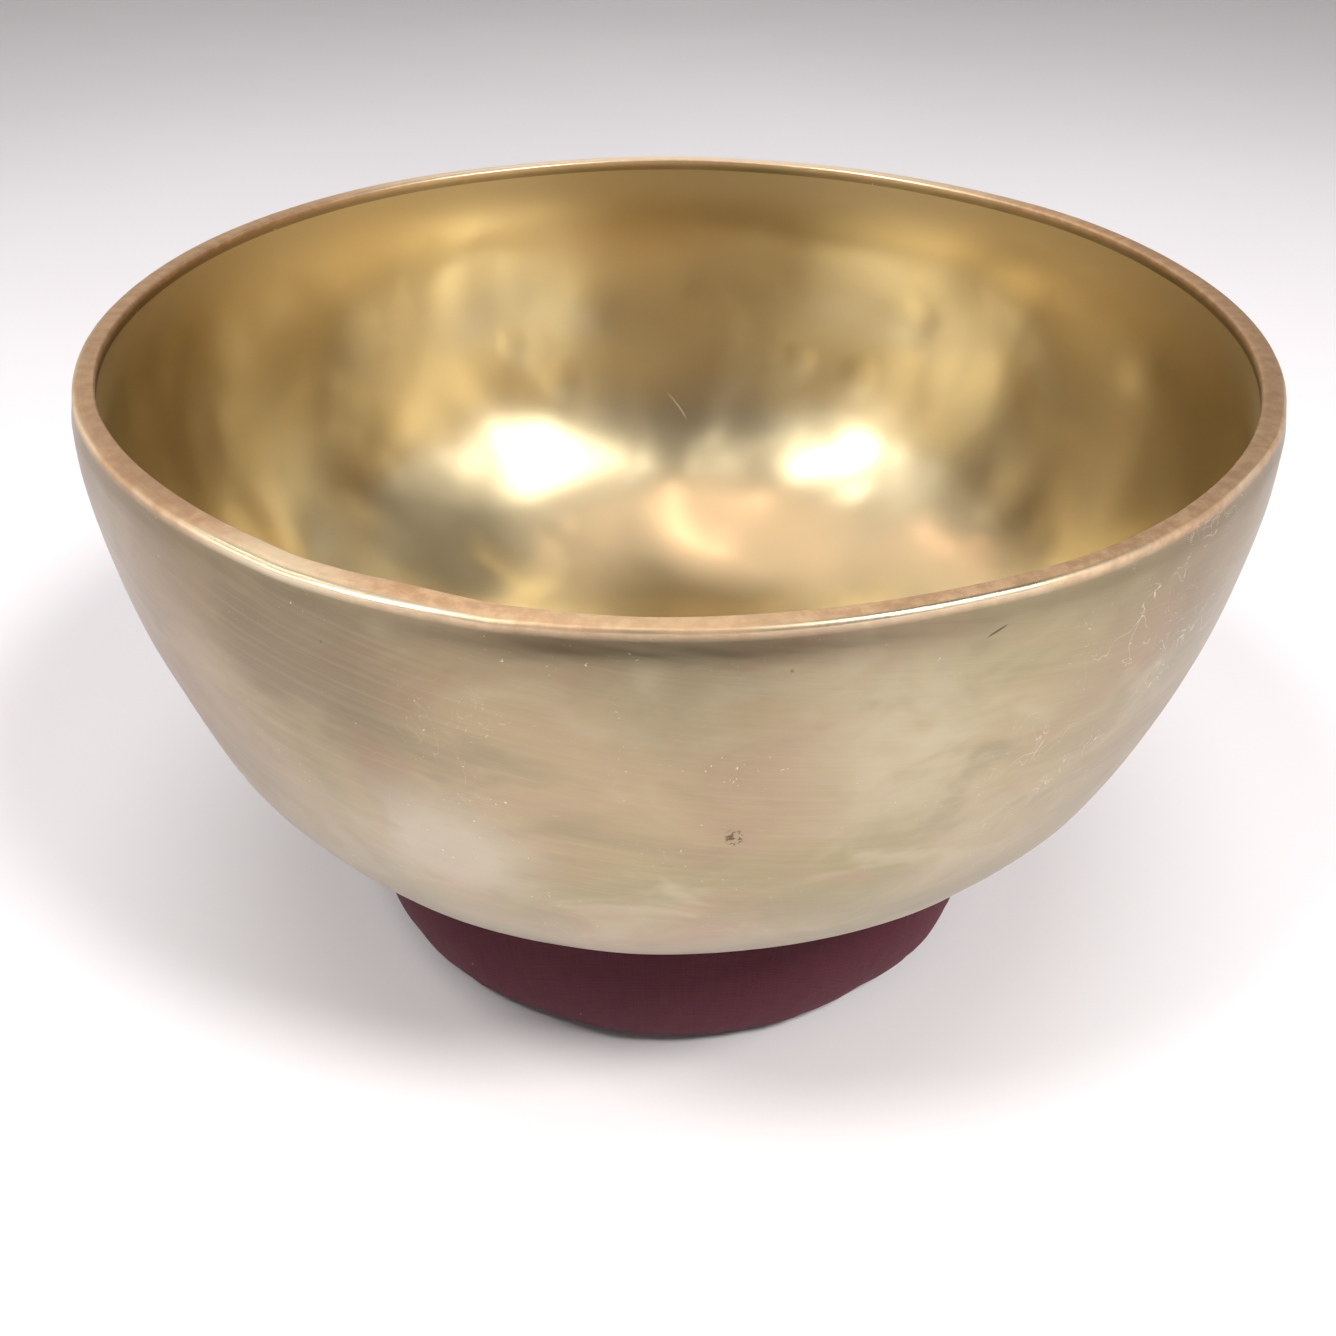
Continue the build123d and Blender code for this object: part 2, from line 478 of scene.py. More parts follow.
radius_change = round_the_lip(1, blur=2.4) - RIM
width_change = round_the_lip(2, blur=1.6) - LIP
lift = unevenness(
    theta,
    waves=[(2, 0.18, 0.6), (3, 0.12, -1.1), (7, 0.08, 2.0), (11, 0.05, 0.3)],
    bumps=[(241, 2.2, -0.25), (250, 4, 0.22), (257.5, 1.6, -0.2)])
lift -= lift.max()
roundness = unevenness(theta, waves=[(2, 0.30, 1.9), (3, 0.20, 0.4), (5, 0.10, 0)])

# 0 at the outer edge of the lip, 1 at the inner edge, and only near the lip
across = (np.clip((RIM - profile[:, 0]) / LIP, 0, 1) * smooth(13, 3, depth)
          * smooth(-2, 2, row - turn + 6.0))
outward = np.stack([np.cos(theta), np.sin(theta), 0 * theta], -1)[None]
skin[..., 2] += smooth(26, 0, depth)[:, None] * lift[None]
skin -= outward * across[:, None, None] * width_change[None, :, None]
skin += outward * smooth(34, 2, depth)[:, None, None] * (radius_change - roundness)[None, :, None]
skin += outward * smooth(100, 20, depth)[:, None, None] * roundness[None, :, None]

# ---------------------------------------------------------------------------
# Hammer marks: overlapping shallow dents inside, softer swells outside
# ---------------------------------------------------------------------------
plain = skin.copy()
inner_first = turn + len(lip_curve) // 2 + 8
# Deeper blows inside. Columns: x, y, z, radius, depth.
DEEP_BLOWS = [
    (-55, 112, 103, 6, 0.16), (-39, 115, 89, 8, 0.22), (41, 116, 97, 7, 0.20),
    (60, 107, 95, 8, 0.24), (15, 123, 99, 9, 0.14), (-39, 83, 51, 7, 0.12),
    (-96, 60, 92, 9, 0.2), (97, 54, 68, 9, 0.16),
]
DEEP_BLOW_DIVISOR = 0.62
DEEPEST = 0.95          # keeps the dents within the thickness of the wall
POLE_R = 14             # inside this radius the marks fade to a level middle


def dents(seed, number, radii, first, last, deep):
    """Round dents at random places on the rows from first up to last."""
    random = np.random.default_rng(seed)
    row_r, row_z = profile[first:last].T
    picked = random.choice(np.arange(first, last), number, p=row_r / row_r.sum())
    azimuth = random.uniform(0, 2 * np.pi, number)
    picked_r, picked_z = profile[picked].T
    middle = np.stack([picked_r * np.cos(azimuth), picked_r * np.sin(azimuth), picked_z], -1)
    radius = random.uniform(*radii, number)
    size = random.uniform(0.35, 1.0, number) * deep * (radius / radii[1])
    field = np.zeros((rows, N_THETA))
    for k in range(number):
        reach = radius[k] * 1.02
        close = (np.abs(row_z - picked_z[k]) < reach) & (np.abs(row_r - picked_r[k]) < reach)
        near = first + np.where(close)[0]
        away = ((plain[near] - middle[k]) ** 2).sum(-1) / radius[k] ** 2
        field[near] -= size[k] * np.clip(1 - away, 0, 1) ** 2
    return field


def hammer_field():
    """How far the metal stands out from the plain skin; negative goes in."""
    wide = Waves(3, shortest=34, longest=90)(plain)
    medium = Waves(4, shortest=14, longest=34)(plain)
    inner = (
        dents(5, number=330, radii=(11, 22), first=inner_first, last=rows - 2, deep=0.62)
        + dents(6, number=90, radii=(22, 40), first=inner_first, last=rows - 2, deep=0.9))
    outer = (0.22 * wide + 0.045 * medium
             + 0.4 * dents(8, number=420, radii=(9, 22), first=2, last=turn - 6, deep=0.2))
    for *middle, radius, deep in DEEP_BLOWS:
        away = ((plain - np.array(middle)) ** 2).sum(-1) / radius ** 2
        inner -= deep * np.clip(1 - away, 0, 1) ** 2 * is_inside[:, None] / DEEP_BLOW_DIVISOR
    inner = inner * 0.80 + 0.26 * wide + 0.02 * medium
    inner = inner - inner[inner_first:].mean()
    inner = np.where(inner < 0, DEEPEST * np.tanh(inner / DEEPEST), inner)
    field = np.where(is_inside[:, None] > 0, inner * smooth(9, 24, depth)[:, None],
                     outer * smooth(2, 16, depth)[:, None])
    # the underside that rests on the cushion stays close to the true curve
    resting = smooth(base_z + 14, base_z + 4, profile[:, 1]) * (1 - is_inside)
    field = field * (1 - 0.8 * resting[:, None])
    field -= 0.15 * (1 - is_inside)[:, None]
    for rows_of_side in (row < turn, row >= turn):
        pole = rows_of_side & (profile[:, 0] < POLE_R)
        level = field[pole].mean()
        fade = smooth(0.5, POLE_R, profile[pole, 0])[:, None]
        field[pole] = level + (field[pole] - level) * fade
    return field


skin += skin_normals * hammer_field()[..., None]


# ---------------------------------------------------------------------------
# Bowl mesh
# ---------------------------------------------------------------------------
def per_vertex(row_values):
    middle = np.repeat(row_values[1:-1], N_THETA)
    return np.r_[row_values[0], middle, row_values[-1]]


def make_bowl():
    rings = rows - 2                             # first and last rows are single points
    points = np.vstack([skin[0].mean(0)[None], skin[1:-1].reshape(-1, 3),
                        skin[-1].mean(0)[None]])
    last = len(points) - 1
    faces = grid_quads(rings, N_THETA, first=1, closed=False).tolist()
    faces += fan(0, 1 + np.arange(N_THETA), backward=True)
    faces += fan(last, np.arange(last - N_THETA, last))
    outer_edge = (smooth(1.6, 0.6, depth) * np.where(row < turn, 1.0, 0.0)
                  * smooth(RIM - 2.1, RIM - 1.3, profile[:, 0]))
    bowl = make_mesh("bowl_hammered", points, faces, {
        "arc": per_vertex(distances(profile) * MM),
        "inside": per_vertex(np.where(row > turn + 10, 1.0, 0.0)),
        "lip": per_vertex(smooth(2.4, 0.7, depth)),
        "depth": per_vertex(depth * MM),
        "edge": per_vertex(outer_edge),
    })
    fit(bowl, "bowl", rides="bowl")
    return bowl


def split_bowl_materials(bowl):
    """The second material starts a little below the lip on the inside."""
    first_inside = int(np.argmax((row > turn) & (depth > 2.7)))
    face_row = np.r_[np.repeat(np.arange(1, rows - 2), N_THETA), np.zeros(N_THETA, int),
                     np.full(N_THETA, rows)]
    index = (face_row >= first_inside).astype(np.int32)
    bowl.data.polygons.foreach_set("material_index", index)


bowl = make_bowl()

# ---------------------------------------------------------------------------
# Bowl metal
# ---------------------------------------------------------------------------
# Stains outside, partly painted reflections: light and dark patches standing for what the metal
# reflects. Columns: x, y, z, reach (mm), strength, colour.
OUTSIDE_STAINS_AND_PAINTED_REFLECTIONS = [
    (-62, -116, 144, 40, 0.75, (0.225, 0.182, 0.122)),
    (-104, -78, 140, 34, 0.50, (0.265, 0.215, 0.175)),
    (-52, -117, 108, 24, 0.45, (0.290, 0.240, 0.170)),
    (-40, -121, 104, 26, 0.70, (0.560, 0.500, 0.400)),
    (-62, -104, 84, 34, 0.45, (0.500, 0.440, 0.350)),
    (37, -127, 132, 32, 0.70, (0.540, 0.475, 0.340)),
    (62, -113, 96, 34, 0.55, (0.500, 0.435, 0.320)),
    (14, -130, 124, 30, 0.65, (0.400, 0.290, 0.196)),
    (-22, -129, 130, 26, 0.50, (0.425, 0.310, 0.220)),
    (2, -131, 147, 22, 0.40, (0.290, 0.268, 0.170)),
    (72, -108, 140, 26, 0.50, (0.370, 0.280, 0.196)),
    (56, -119, 146, 24, 0.45, (0.400, 0.365, 0.222)),
    (100, -84, 130, 30, 0.45, (0.290, 0.240, 0.180)),
]
# Painted reflections inside: light and dark places standing for what the metal reflects, with the
# same columns.
INSIDE_PAINTED_REFLECTIONS = [
    (-55, 117, 134, 46, 1.00, (0.990, 0.900, 0.660)),
    (-46, 119, 112, 30, 0.90, (0.970, 0.870, 0.620)),
    (72, 108, 136, 46, 0.95, (0.970, 0.870, 0.630)),
    (88, 94, 116, 32, 0.85, (0.940, 0.830, 0.590)),
    (-111, 47, 85, 26, 1.00, (0.960, 0.880, 0.660)),
    (-104, 62, 78, 20, 0.60, (0.560, 0.455, 0.290)),
    (4, 129, 124, 46, 0.55, (0.640, 0.505, 0.315)),
    (5, 120, 86, 26, 0.40, (0.660, 0.530, 0.345)),
    (112, 48, 88, 26, 0.50, (0.640, 0.510, 0.320)),
    (100, 55, 70, 28, 0.90, (0.480, 0.370, 0.215)),
    (-124, 30, 134, 62, 0.80, (0.500, 0.420, 0.272)),
    (127, 20, 125, 56, 0.55, (0.560, 0.465, 0.300)),
    (-98, 84, 134, 30, 0.40, (0.600, 0.500, 0.320)),
    (-76, 60, 55, 34, 0.60, (0.540, 0.430, 0.255)),
    (-93, 66, 70, 24, 0.45, (0.540, 0.430, 0.265)),
]


def bowl_place():
    """Where a shaded point is on the bowl, in metres."""
    point = coordinate()
    x, y, z = separate(point)
    return SimpleNamespace(point=point, x=x, y=y, z=z, arc=attribute("arc"),
                           lip=attribute("lip"), depth=attribute("depth"))


def spot(at, middle, reach):
    """A soft round mask about a place in millimetres, 0 at its reach."""
    middle = tuple(value * MM for value in middle)
    return ramp(measure("DISTANCE", at.point, middle), over=(reach * MM, 0.0))


def metal(colour, rough, height, anisotropic):
    tangent = node("ShaderNodeTangent", direction_type="RADIAL", axis="Z")
    return principled({
        "Base Color": colour, "Metallic": 1.0, "Roughness": rough,
        "Normal": bump(height, strength=1.0, distance=1.0), "Anisotropic": anisotropic,
        "Anisotropic Rotation": 0.25, "Tangent": Value(tangent.outputs[0])})


def outside_grain(at):
    """Brushed lines and patches shared by the outside's colour, gloss and relief, with masks for
    painted shade on the left and right sides.
    """
    # brushed along the turning direction, a little on the slant
    skew = combine(at.x, at.y, at.arc + at.x * 0.16)
    point = at.point
    return SimpleNamespace(
        streak=noise(skew, stretch=(16, 16, 900)),
        hair=noise(skew, stretch=(60, 60, 3800), rough=0.7),
        broad=noise(point, stretch=(13, 13, 17), rough=0.5, bend=0.5),
        brown=noise(point, stretch=(23, 23, 33), offset=(3.1, 1.7, 5.2), detail=3.0,
                    rough=0.55, bend=0.6),
        small=noise(point, stretch=(55, 55, 85), offset=(1.3, 9.1, 2.2), detail=3.0, bend=0.4),
        mottle=noise(point, stretch=(32, 32, 62), offset=(7.7, 2.9, 6.1), detail=3.0, bend=0.8),
        fine=noise(point, stretch=(1100, 1100, 1100)),
        # masks for painted shade on the left and right sides
        painted_left_shade=ramp(at.x, over=(-0.03, -0.12)),
        painted_right_shade=ramp(at.x, over=(0.05, 0.13)))


def stain_and_reflection_coats(at, grain):
    """Ragged-edged stains and painted reflections."""
    for *middle, reach, strength, colour in OUTSIDE_STAINS_AND_PAINTED_REFLECTIONS:
        torn = ramp(grain.small + grain.brown, over=(0.78, 1.08), to=(0.35, 1.3))
        yield clamped(spot(at, middle, reach) * torn) * strength, colour


def tarnish_and_painted_light(at, grain):
    """Champagne bronze, tarnished in soft clouds, with painted reflections: darker sides, a paler
    foot and a dark band under the lip.
    """
    return layered(
        (0.412, 0.326, 0.198),
        (ramp(grain.broad, over=(0.38, 0.62)), (0.345, 0.294, 0.167)),
        (ramp(grain.brown, over=(0.46, 0.68)) * 1.0, (0.405, 0.276, 0.185)),
        (ramp(grain.mottle, over=(0.48, 0.72)) * 0.75, (0.275, 0.230, 0.146)),
        (ramp(grain.mottle, over=(0.50, 0.28)) * 0.75, (0.500, 0.425, 0.285)),
        # painted reflections: the left and right sides tinted darker
        (grain.painted_left_shade * 0.78, (0.285, 0.194, 0.138)),
        (grain.painted_right_shade * 0.65, (0.268, 0.218, 0.152)),
        # painted reflection of the pale floor: paler toward the foot
        (ramp(at.depth, over=(0.050, 0.104), to=(0.0, 0.65)), (0.500, 0.446, 0.366)),
        *stain_and_reflection_coats(at, grain),
        # brushed lines
        (ramp(grain.streak, over=(0.42, 0.75), to=(0.0, 0.14)), (0.55, 0.47, 0.32)),
        (ramp(grain.hair, over=(0.50, 0.85), to=(0.0, 0.16)), (0.54, 0.46, 0.33)),
        (ramp(grain.hair, over=(0.45, 0.20), to=(0.0, 0.14)), (0.25, 0.205, 0.135)),
        # painted dark reflection just under the lip
        (ramp(at.depth, over=(0.011, 0.004)) * 0.35, (0.28, 0.225, 0.150)))


def curled_scratches(at, grain):
    """Fine curled scratches, thickest on the right shoulder."""
    lines = []
    for size, offset in ((105, (1, 2, 3)), (150, (5, 1, 8))):
        swirl = noise(at.point, stretch=(size, size, size * 0.8), offset=offset, detail=1.0,
                      rough=0.4, bend=0.9)
        lines.append(ramp(abs(swirl - 0.5), over=(0.0065, 0.0015)))
    broken = ramp(grain.small + grain.hair * 0.5, over=(0.74, 0.86))
    where = clamped(spot(at, (84, -101, 140), reach=44)
                    + spot(at, (70, -112, 118), reach=34) * 0.5
                    + spot(at, (-31, -128, 136), reach=15) * 0.5 + 0.06)
    return maximum(*lines) * broken * where


def pits(at):
    near, cell_colour = cells(at.point, stretch=(150, 150, 150), offset=(0.3, 0.1, 0.7))
    chance = filled(node("ShaderNodeSeparateColor"), {0: cell_colour})
    return ramp(near, over=(0.085, 0.04)) * calc("GREATER_THAN", chance, 0.93)


def mark_cluster(at, grain):
    """Dark specks gathered at one place on the front."""
    squash = (1.25, 1.0, 0.8)
    middle = (10.3 * squash[0] * MM, -129.4 * MM, 116 * squash[2] * MM)
    away = measure("DISTANCE", mapped(at.point, squash), middle)
    cluster = ramp(away, over=(0.0024, 0.0012))
    return ramp(grain.fine, over=(0.52, 0.58)) * cluster


def nick_mask(at):
    """One narrow slanting nick, on the right near the lip."""
    x = at.x - 0.0503
    z = at.z - 0.1521 - x * 0.45
    away = measure("LENGTH", combine(x, z * 7.0, (at.y + 0.1212) * 0.4))
    return ramp(away, over=(0.0021, 0.0011))


def lip_colour_and_painted_light(at, grain, filed, patchy, far):
    """Flat, filed, peach-coloured satin, with painted shade at the sides and painted highlights on
    the near lip and the back of the lip.
    """
    return layered(
        (0.640, 0.420, 0.258),
        (ramp(filed, over=(0.36, 0.66)), (0.830, 0.590, 0.385)),
        (ramp(patchy, over=(0.52, 0.70), to=(0.0, 0.40)), (0.53, 0.345, 0.215)),
        # painted shade: darker at both sides and at one place on the left
        (maximum(grain.painted_left_shade, grain.painted_right_shade) * 0.55, (0.44, 0.280, 0.172)),
        (spot(at, (-95, -88, 157), reach=26) * 0.55, (0.44, 0.280, 0.172)),
        # painted highlights: brighter on the near lip and along the back of the lip
        (spot(at, (-64, -112, 157), reach=24) * 0.75, (0.92, 0.80, 0.60)),
        (spot(at, (-2, -129, 157), reach=46) * 0.50, (0.88, 0.69, 0.46)),
        (far * 0.8, (0.90, 0.75, 0.56)))


def polished_edge_and_highlight(at, patchy):
    """Where the lip's outer edge is polished, with painted highlights placed along it."""
    polish_and_painted_highlight = (spot(at, (-52, -118, 157), reach=42) + spot(at, (-66, -111, 157), reach=24)
             + spot(at, (44, -122, 157), reach=38))
    patches = ramp(patchy, over=(0.40, 0.62), to=(0.05, 0.40))
    return attribute("edge") * clamped(polish_and_painted_highlight * 0.9 + patches)


def metal_outside():
    at = bowl_place()
    grain = outside_grain(at)
    pit, nick = pits(at), nick_mask(at)
    dark = maximum(maximum(pit * 0.6, mark_cluster(at, grain)), nick)
    speck = (ramp(grain.fine, over=(0.695, 0.735))
             * ramp(grain.small, over=(0.50, 0.62), to=(0.0, 0.8)))
    filed = noise(at.point, stretch=(330, 330, 330), detail=4.0, rough=0.65)
    patchy = noise(at.point, stretch=(60, 60, 60), offset=(2, 7, 1), rough=0.5)
    far = ramp(at.y, over=(0.070, 0.115))        # the back of the lip
    polish_and_painted_highlight = polished_edge_and_highlight(at, patchy)
    colour = layered(
        tarnish_and_painted_light(at, grain),
        (curled_scratches(at, grain) * 0.65, (0.80, 0.74, 0.60)),
        (dark * 0.75, (0.12, 0.088, 0.056)),
        (speck, (0.78, 0.70, 0.53)),
        (at.lip, lip_colour_and_painted_light(at, grain, filed, patchy, far)),
        # painted highlight along the polished outer edge
        (polish_and_painted_highlight * 0.85, (0.90, 0.78, 0.57)))
    rough = (0.335 + ramp(grain.streak, over=(0.3, 0.7), to=(-0.025, 0.025))
             + ramp(grain.brown, over=(0.3, 0.7), to=(-0.030, 0.050)) + dark * 0.25)
    rough = mix_float(at.lip, rough, mix_float(far, first=0.56, second=0.36))
    rough = mix_float(polish_and_painted_highlight * 0.9, rough, second=0.20)
    # relief in metres
    height = (grain.streak * 0.000018 + grain.hair * 0.000010 + grain.small * 0.000120
              + filed * at.lip * 0.000060 - maximum(nick, pit * 0.6) * 0.000050)
    return metal(colour, rough, height, anisotropic=0.40)


def inside_scratch(at):
    """One short bent scratch on the far wall."""
    x, z = at.x - 0.0005, at.z - 0.0790
    along = x * 0.64 + z * -0.77
    across_it = x * 0.77 + z * 0.64 + along * along * 14.0
    line = (ramp(abs(along), over=(0.0062, 0.0030))
            * ramp(abs(across_it), over=(0.00036, 0.00010)))
    return line * calc("GREATER_THAN", at.y, 0.0)


def metal_inside():
    """Brighter, cleaner metal with faint clouds and painted reflections in light and dark patches;
    duller on the band under the lip.
    """
    at = bowl_place()
    streak = noise(combine(at.x, at.y, at.arc), stretch=(26, 26, 1500))
    cloud = noise(at.point, stretch=(15, 15, 21), offset=(3.1, 1.7, 5.2), detail=1.0,
                  rough=0.4, bend=0.3)
    band = ramp(at.depth, over=(0.020, 0.005))
    scratch = inside_scratch(at)
    colour = layered(
        (0.700, 0.592, 0.385),
        (ramp(cloud, over=(0.15, 0.85)), (0.640, 0.532, 0.338)),
        *[(spot(at, middle, reach) * strength, tint)
          for *middle, reach, strength, tint in INSIDE_PAINTED_REFLECTIONS],
        (band * 0.70, (0.540, 0.440, 0.285)),
        (scratch * 0.35, (0.95, 0.88, 0.70)),
        (at.lip, (0.66, 0.45, 0.28)))
    rough = 0.278 + ramp(cloud, over=(0.15, 0.85), to=(0.0, 0.03))
    rough = mix_float(band, rough, second=0.42) + scratch * 0.12
    rough = mix_float(at.lip, rough, second=0.5)
    return metal(colour, rough, height=streak * 0.000006, anisotropic=0.12)


bowl.data.materials.append(material("tarnished_bronze_lip_painted_light", metal_outside))
bowl.data.materials.append(material("polished_bronze_bowl", metal_inside))
split_bowl_materials(bowl)

# ---------------------------------------------------------------------------
# Cushion section: a sewn cotton ring, swelled by its filling and dished by the bowl
# ---------------------------------------------------------------------------
FABRIC, PANEL = 0.8, 0.7        # cloth thickness of the cover and the base panel
# The cover from the outer seam over the crown to the inner seam. Columns: radius, height.
COVER = [
    (81.00, 2.35), (82.20, 2.42), (84.60, 3.35), (87.00, 6.20), (88.35, 11.40),
    (88.30, 18.00), (86.60, 25.20), (83.20, 31.60), (79.00, 35.80), (75.20, 37.80),
    (71.30, 38.45), (67.30, 38.00), (62.00, 36.72), (56.00, 35.65), (50.00, 35.02),
    (46.00, 34.30), (42.20, 32.00), (39.30, 27.40), (37.90, 21.00), (37.80, 14.20),
    (38.80, 8.20), (40.90, 4.20), (43.00, 2.60), (44.20, 2.35),
]
OUTER_SEAM, INNER_SEAM = COVER[0][0], COVER[-1][0]
FLANGE_Z = COVER[0][1]
CROWN_R = COVER[10][0]
OUTER_FLANGE, INNER_FLANGE = 74.5, 50.2     # where the cloth turned in at the seams ends
FLANGE_ROWS = 6
N_U = 256                 # points round the swelling cloth
N_V = 50                                    # rows of the cover
RING_CORE = (62.0, 0, 18.0)                 # a point within the ring at azimuth 0
coarse = np.linspace(0, 2 * np.pi, N_U, endpoint=False)


def uneven(points, count, ease=0.45):
    """The smooth curve through the points, with closer steps at both ends."""
    curve = spline(points, 3000)
    share = np.linspace(0, 1, count)
    share = (1 - ease) * share + ease * (0.5 - 0.5 * np.cos(np.pi * share))
    return resample(curve, share * distances(curve)[-1])


_, cover_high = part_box("cushion_upper_cover")
cover_curve = uneven(COVER, N_V)
cover_curve[:, 1] *= (cover_high.z / MM - FABRIC / 2) / cover_curve[:, 1].max()
cover_along = distances(cover_curve)
cover_normals = section_normals(cover_curve)         # point out of the cushion
seam_gap = np.minimum(cover_along, cover_along[-1] - cover_along)

# ---------------------------------------------------------------------------
# Cover cloth, swelled by a pressure simulation
# ---------------------------------------------------------------------------
FRAMES = 20
CLOTH = dict(
    quality=6, mass=0.2, tension_stiffness=18.0, compression_stiffness=18.0,
    shear_stiffness=8.0, bending_stiffness=0.25, tension_damping=8.0, compression_damping=8.0,
    shear_damping=8.0, bending_damping=0.5, vertex_group_mass="pins", use_pressure=True,
    uniform_pressure_force=4.0, shrink_min=-0.035)
MOST_TRAVEL = 4.0               # limit on how far the cloth may move
MOST_STAND = 1.1                # limit on how far it stands off its average section


def slack_ring():
    """The cloth before swelling, closed below by a flat base."""
    start = cover_curve - cover_normals * (1.3 * smooth(0, 9, seam_gap))[:, None]
    flat = [(44.3, 1.2), (45.2, 0.6), *[(r, 0.5) for r in np.linspace(48, 77.5, 11)],
            (80.2, 0.6), (81.0, 1.2)]
    ring = turned(np.vstack([start, flat]), coarse)
    random = np.random.default_rng(41)
    soft = Waves(42, shortest=22, longest=60)(ring)
    share = np.r_[smooth(0, 12, seam_gap), np.zeros(len(flat))][:, None]
    ring[..., :2] *= (1 + 0.0018 * soft * share)[..., None]
    ring[1:N_V - 1] += random.normal(0, 0.05, ring[1:N_V - 1].shape)
    return ring


def simulation_helpers():
    """The bowl's underside and the ground, for the cloth to press against."""
    hull = turned(np.array(outside[::-1])[:14], coarse)
    hull = np.concatenate([hull, hull[::-1] * 0.985 + np.array([0, 0, 3.0])], 0)
    corners = [(-150, -150, -0.3), (150, -150, -0.3), (150, 150, -0.3), (-150, 150, -0.3)]
    helpers = [ring_mesh("press", hull), make_mesh("ground", corners, [(0, 1, 2, 3)])]
    for helper in helpers:
        helper.modifiers.new("collide", "COLLISION")
        helper.collision.thickness_outer = 0.0006
        helper.collision.thickness_inner = 0.002
    return helpers


def simulate(ring):
    """Runs the cloth and gives back its points in the same grid."""
    cloth = ring_mesh("swell_ring", ring)
    index = np.arange(len(ring) * N_U).reshape(-1, N_U)
    pins = cloth.vertex_groups.new(name="pins")
    pinned = np.r_[index[0], index[N_V - 1:].ravel()]
    pins.add(pinned.tolist(), 1.0, "REPLACE")
    helpers = simulation_helpers()
    modifier = cloth.modifiers.new("cloth", "CLOTH")
    for key, value in CLOTH.items():
        setattr(modifier.settings, key, value)
    modifier.settings.effector_weights.gravity = 0.0
    modifier.collision_settings.distance_min = 0.0006
    modifier.collision_settings.collision_quality = 3
    modifier.point_cache.frame_start = 1
    modifier.point_cache.frame_end = FRAMES
    for frame in range(1, FRAMES + 1):
        scene.frame_set(frame)
    done = cloth.evaluated_get(bpy.context.evaluated_depsgraph_get())
    points = np.empty(len(done.data.vertices) * 3)
    done.data.vertices.foreach_get("co", points)
    points = points.reshape(len(ring), N_U, 3) / MM
    scene.frame_set(1)
    for used in [cloth, *helpers]:
        mesh = used.data
        bpy.data.objects.remove(used, do_unlink=True)
        bpy.data.meshes.remove(mesh)
    return points


def swell():
    """How the filled cloth stands off its average section: (rows, columns, 2)."""
    ring = slack_ring()
    move = simulate(ring) - ring
    travel = np.linalg.norm(move, axis=-1, keepdims=True)
    points = ring + move * np.minimum(1, MOST_TRAVEL / np.maximum(travel, 1e-9))
    points = points[:N_V]
    radius = points[..., 0] * np.cos(coarse) + points[..., 1] * np.sin(coarse)
    section = np.stack([radius, points[..., 2]], -1)
    section = section - section.mean(1, keepdims=True)
    return MOST_STAND * np.tanh(section / MOST_STAND)


stand = swell()

# The ring isn't a true circle: the sewn seam runs a little in and out.
wander = unevenness(
    coarse,
    waves=[(2, 0.42, 0.9), (3, 0.30, -0.7), (5, 0.22, 1.3), (8, 0.16, 0.2), (13, 0.12, 2.4)],
    bumps=[(318, 8, 0.45), (303, 9, -0.45), (288, 7, 0.25), (232, 9, 0.3), (246, 9, -0.3),
           (268, 30, -1.0), (206, 16, -0.9), (336, 18, -1.2)])
outer_side = smooth(60, 76, cover_curve[:, 0]) * smooth(34.5, 28, cover_curve[:, 1])
taut = 1.0 - 0.82 * smooth(72, 82, cover_curve[:, 0])       # the outer wall is drawn tight
cover_grid = cover_curve[:, None] + stand * taut[:, None, None]
cover_grid[..., 0] += outer_side[:, None] * wander[None]
seam_wander = wander * float(outer_side[0])


def finer(values, axis, closed):
    """Twice as many points along an axis, on a smooth curve through the old ones."""
    values = np.moveaxis(values, axis, 0)
    if closed:
        before, here, after, beyond = (np.roll(values, k, 0) for k in (1, 0, -1, -2))
    else:
        first, last = 2 * values[:1] - values[1:2], 2 * values[-1:] - values[-2:-1]
        longer = np.concatenate([first, values, last], 0)
        before, here, after, beyond = longer[:-3], longer[1:-2], longer[2:-1], longer[3:]
    between = (-before + 9 * here + 9 * after - beyond) / 16
    result = np.empty((len(values) + len(between), *values.shape[1:]))
    result[0::2] = values
    result[1::2] = between
    return np.moveaxis(result, 0, axis)


cover_grid = finer(finer(cover_grid, 1, closed=True), 0, closed=False)
cover_grid = finer(cover_grid, 1, closed=True)
along = finer(cover_along, 0, closed=False)
columns = cover_grid.shape[1]
angle = np.linspace(0, 2 * np.pi, columns, endpoint=False)
gap_out, gap_in = along, along[-1] - along


# ---------------------------------------------------------------------------
# Puckers and drag lines of the cover
# ---------------------------------------------------------------------------
def gathers(seed, spacing, radius):
    """A ripple that runs round the seam with uneven spacing and uneven height."""
    random = np.random.default_rng(seed)
    number = max(8, int(2 * np.pi * radius / spacing))
    shift = random.uniform(-0.33, 0.33, number)
    place = np.sort((np.arange(number) + shift) / number) * 2 * np.pi
    height = random.uniform(0.25, 1.0, number)
    width = random.uniform(0.22, 0.36, number) * spacing / radius
    away = (angle[:, None] - place[None] + np.pi) % (2 * np.pi) - np.pi
    return (height * np.exp(-(away / width) ** 2)).sum(1) - 0.35


def ripple(gap, seed, radius, reach, size):
    """Wide and narrow gathers that die away from a seam."""
    wide = gathers(seed, spacing=7.5, radius=radius)
    narrow = gathers(seed + 1, spacing=4.0, radius=radius)
    wide_fall = np.exp(-gap / reach) * smooth(0, 1.6, gap)
    narrow_fall = np.exp(-gap / (reach * 0.35)) * smooth(0, 0.8, gap)
    return size * (wide_fall[:, None] * wide[None] + 0.6 * narrow_fall[:, None] * narrow[None])


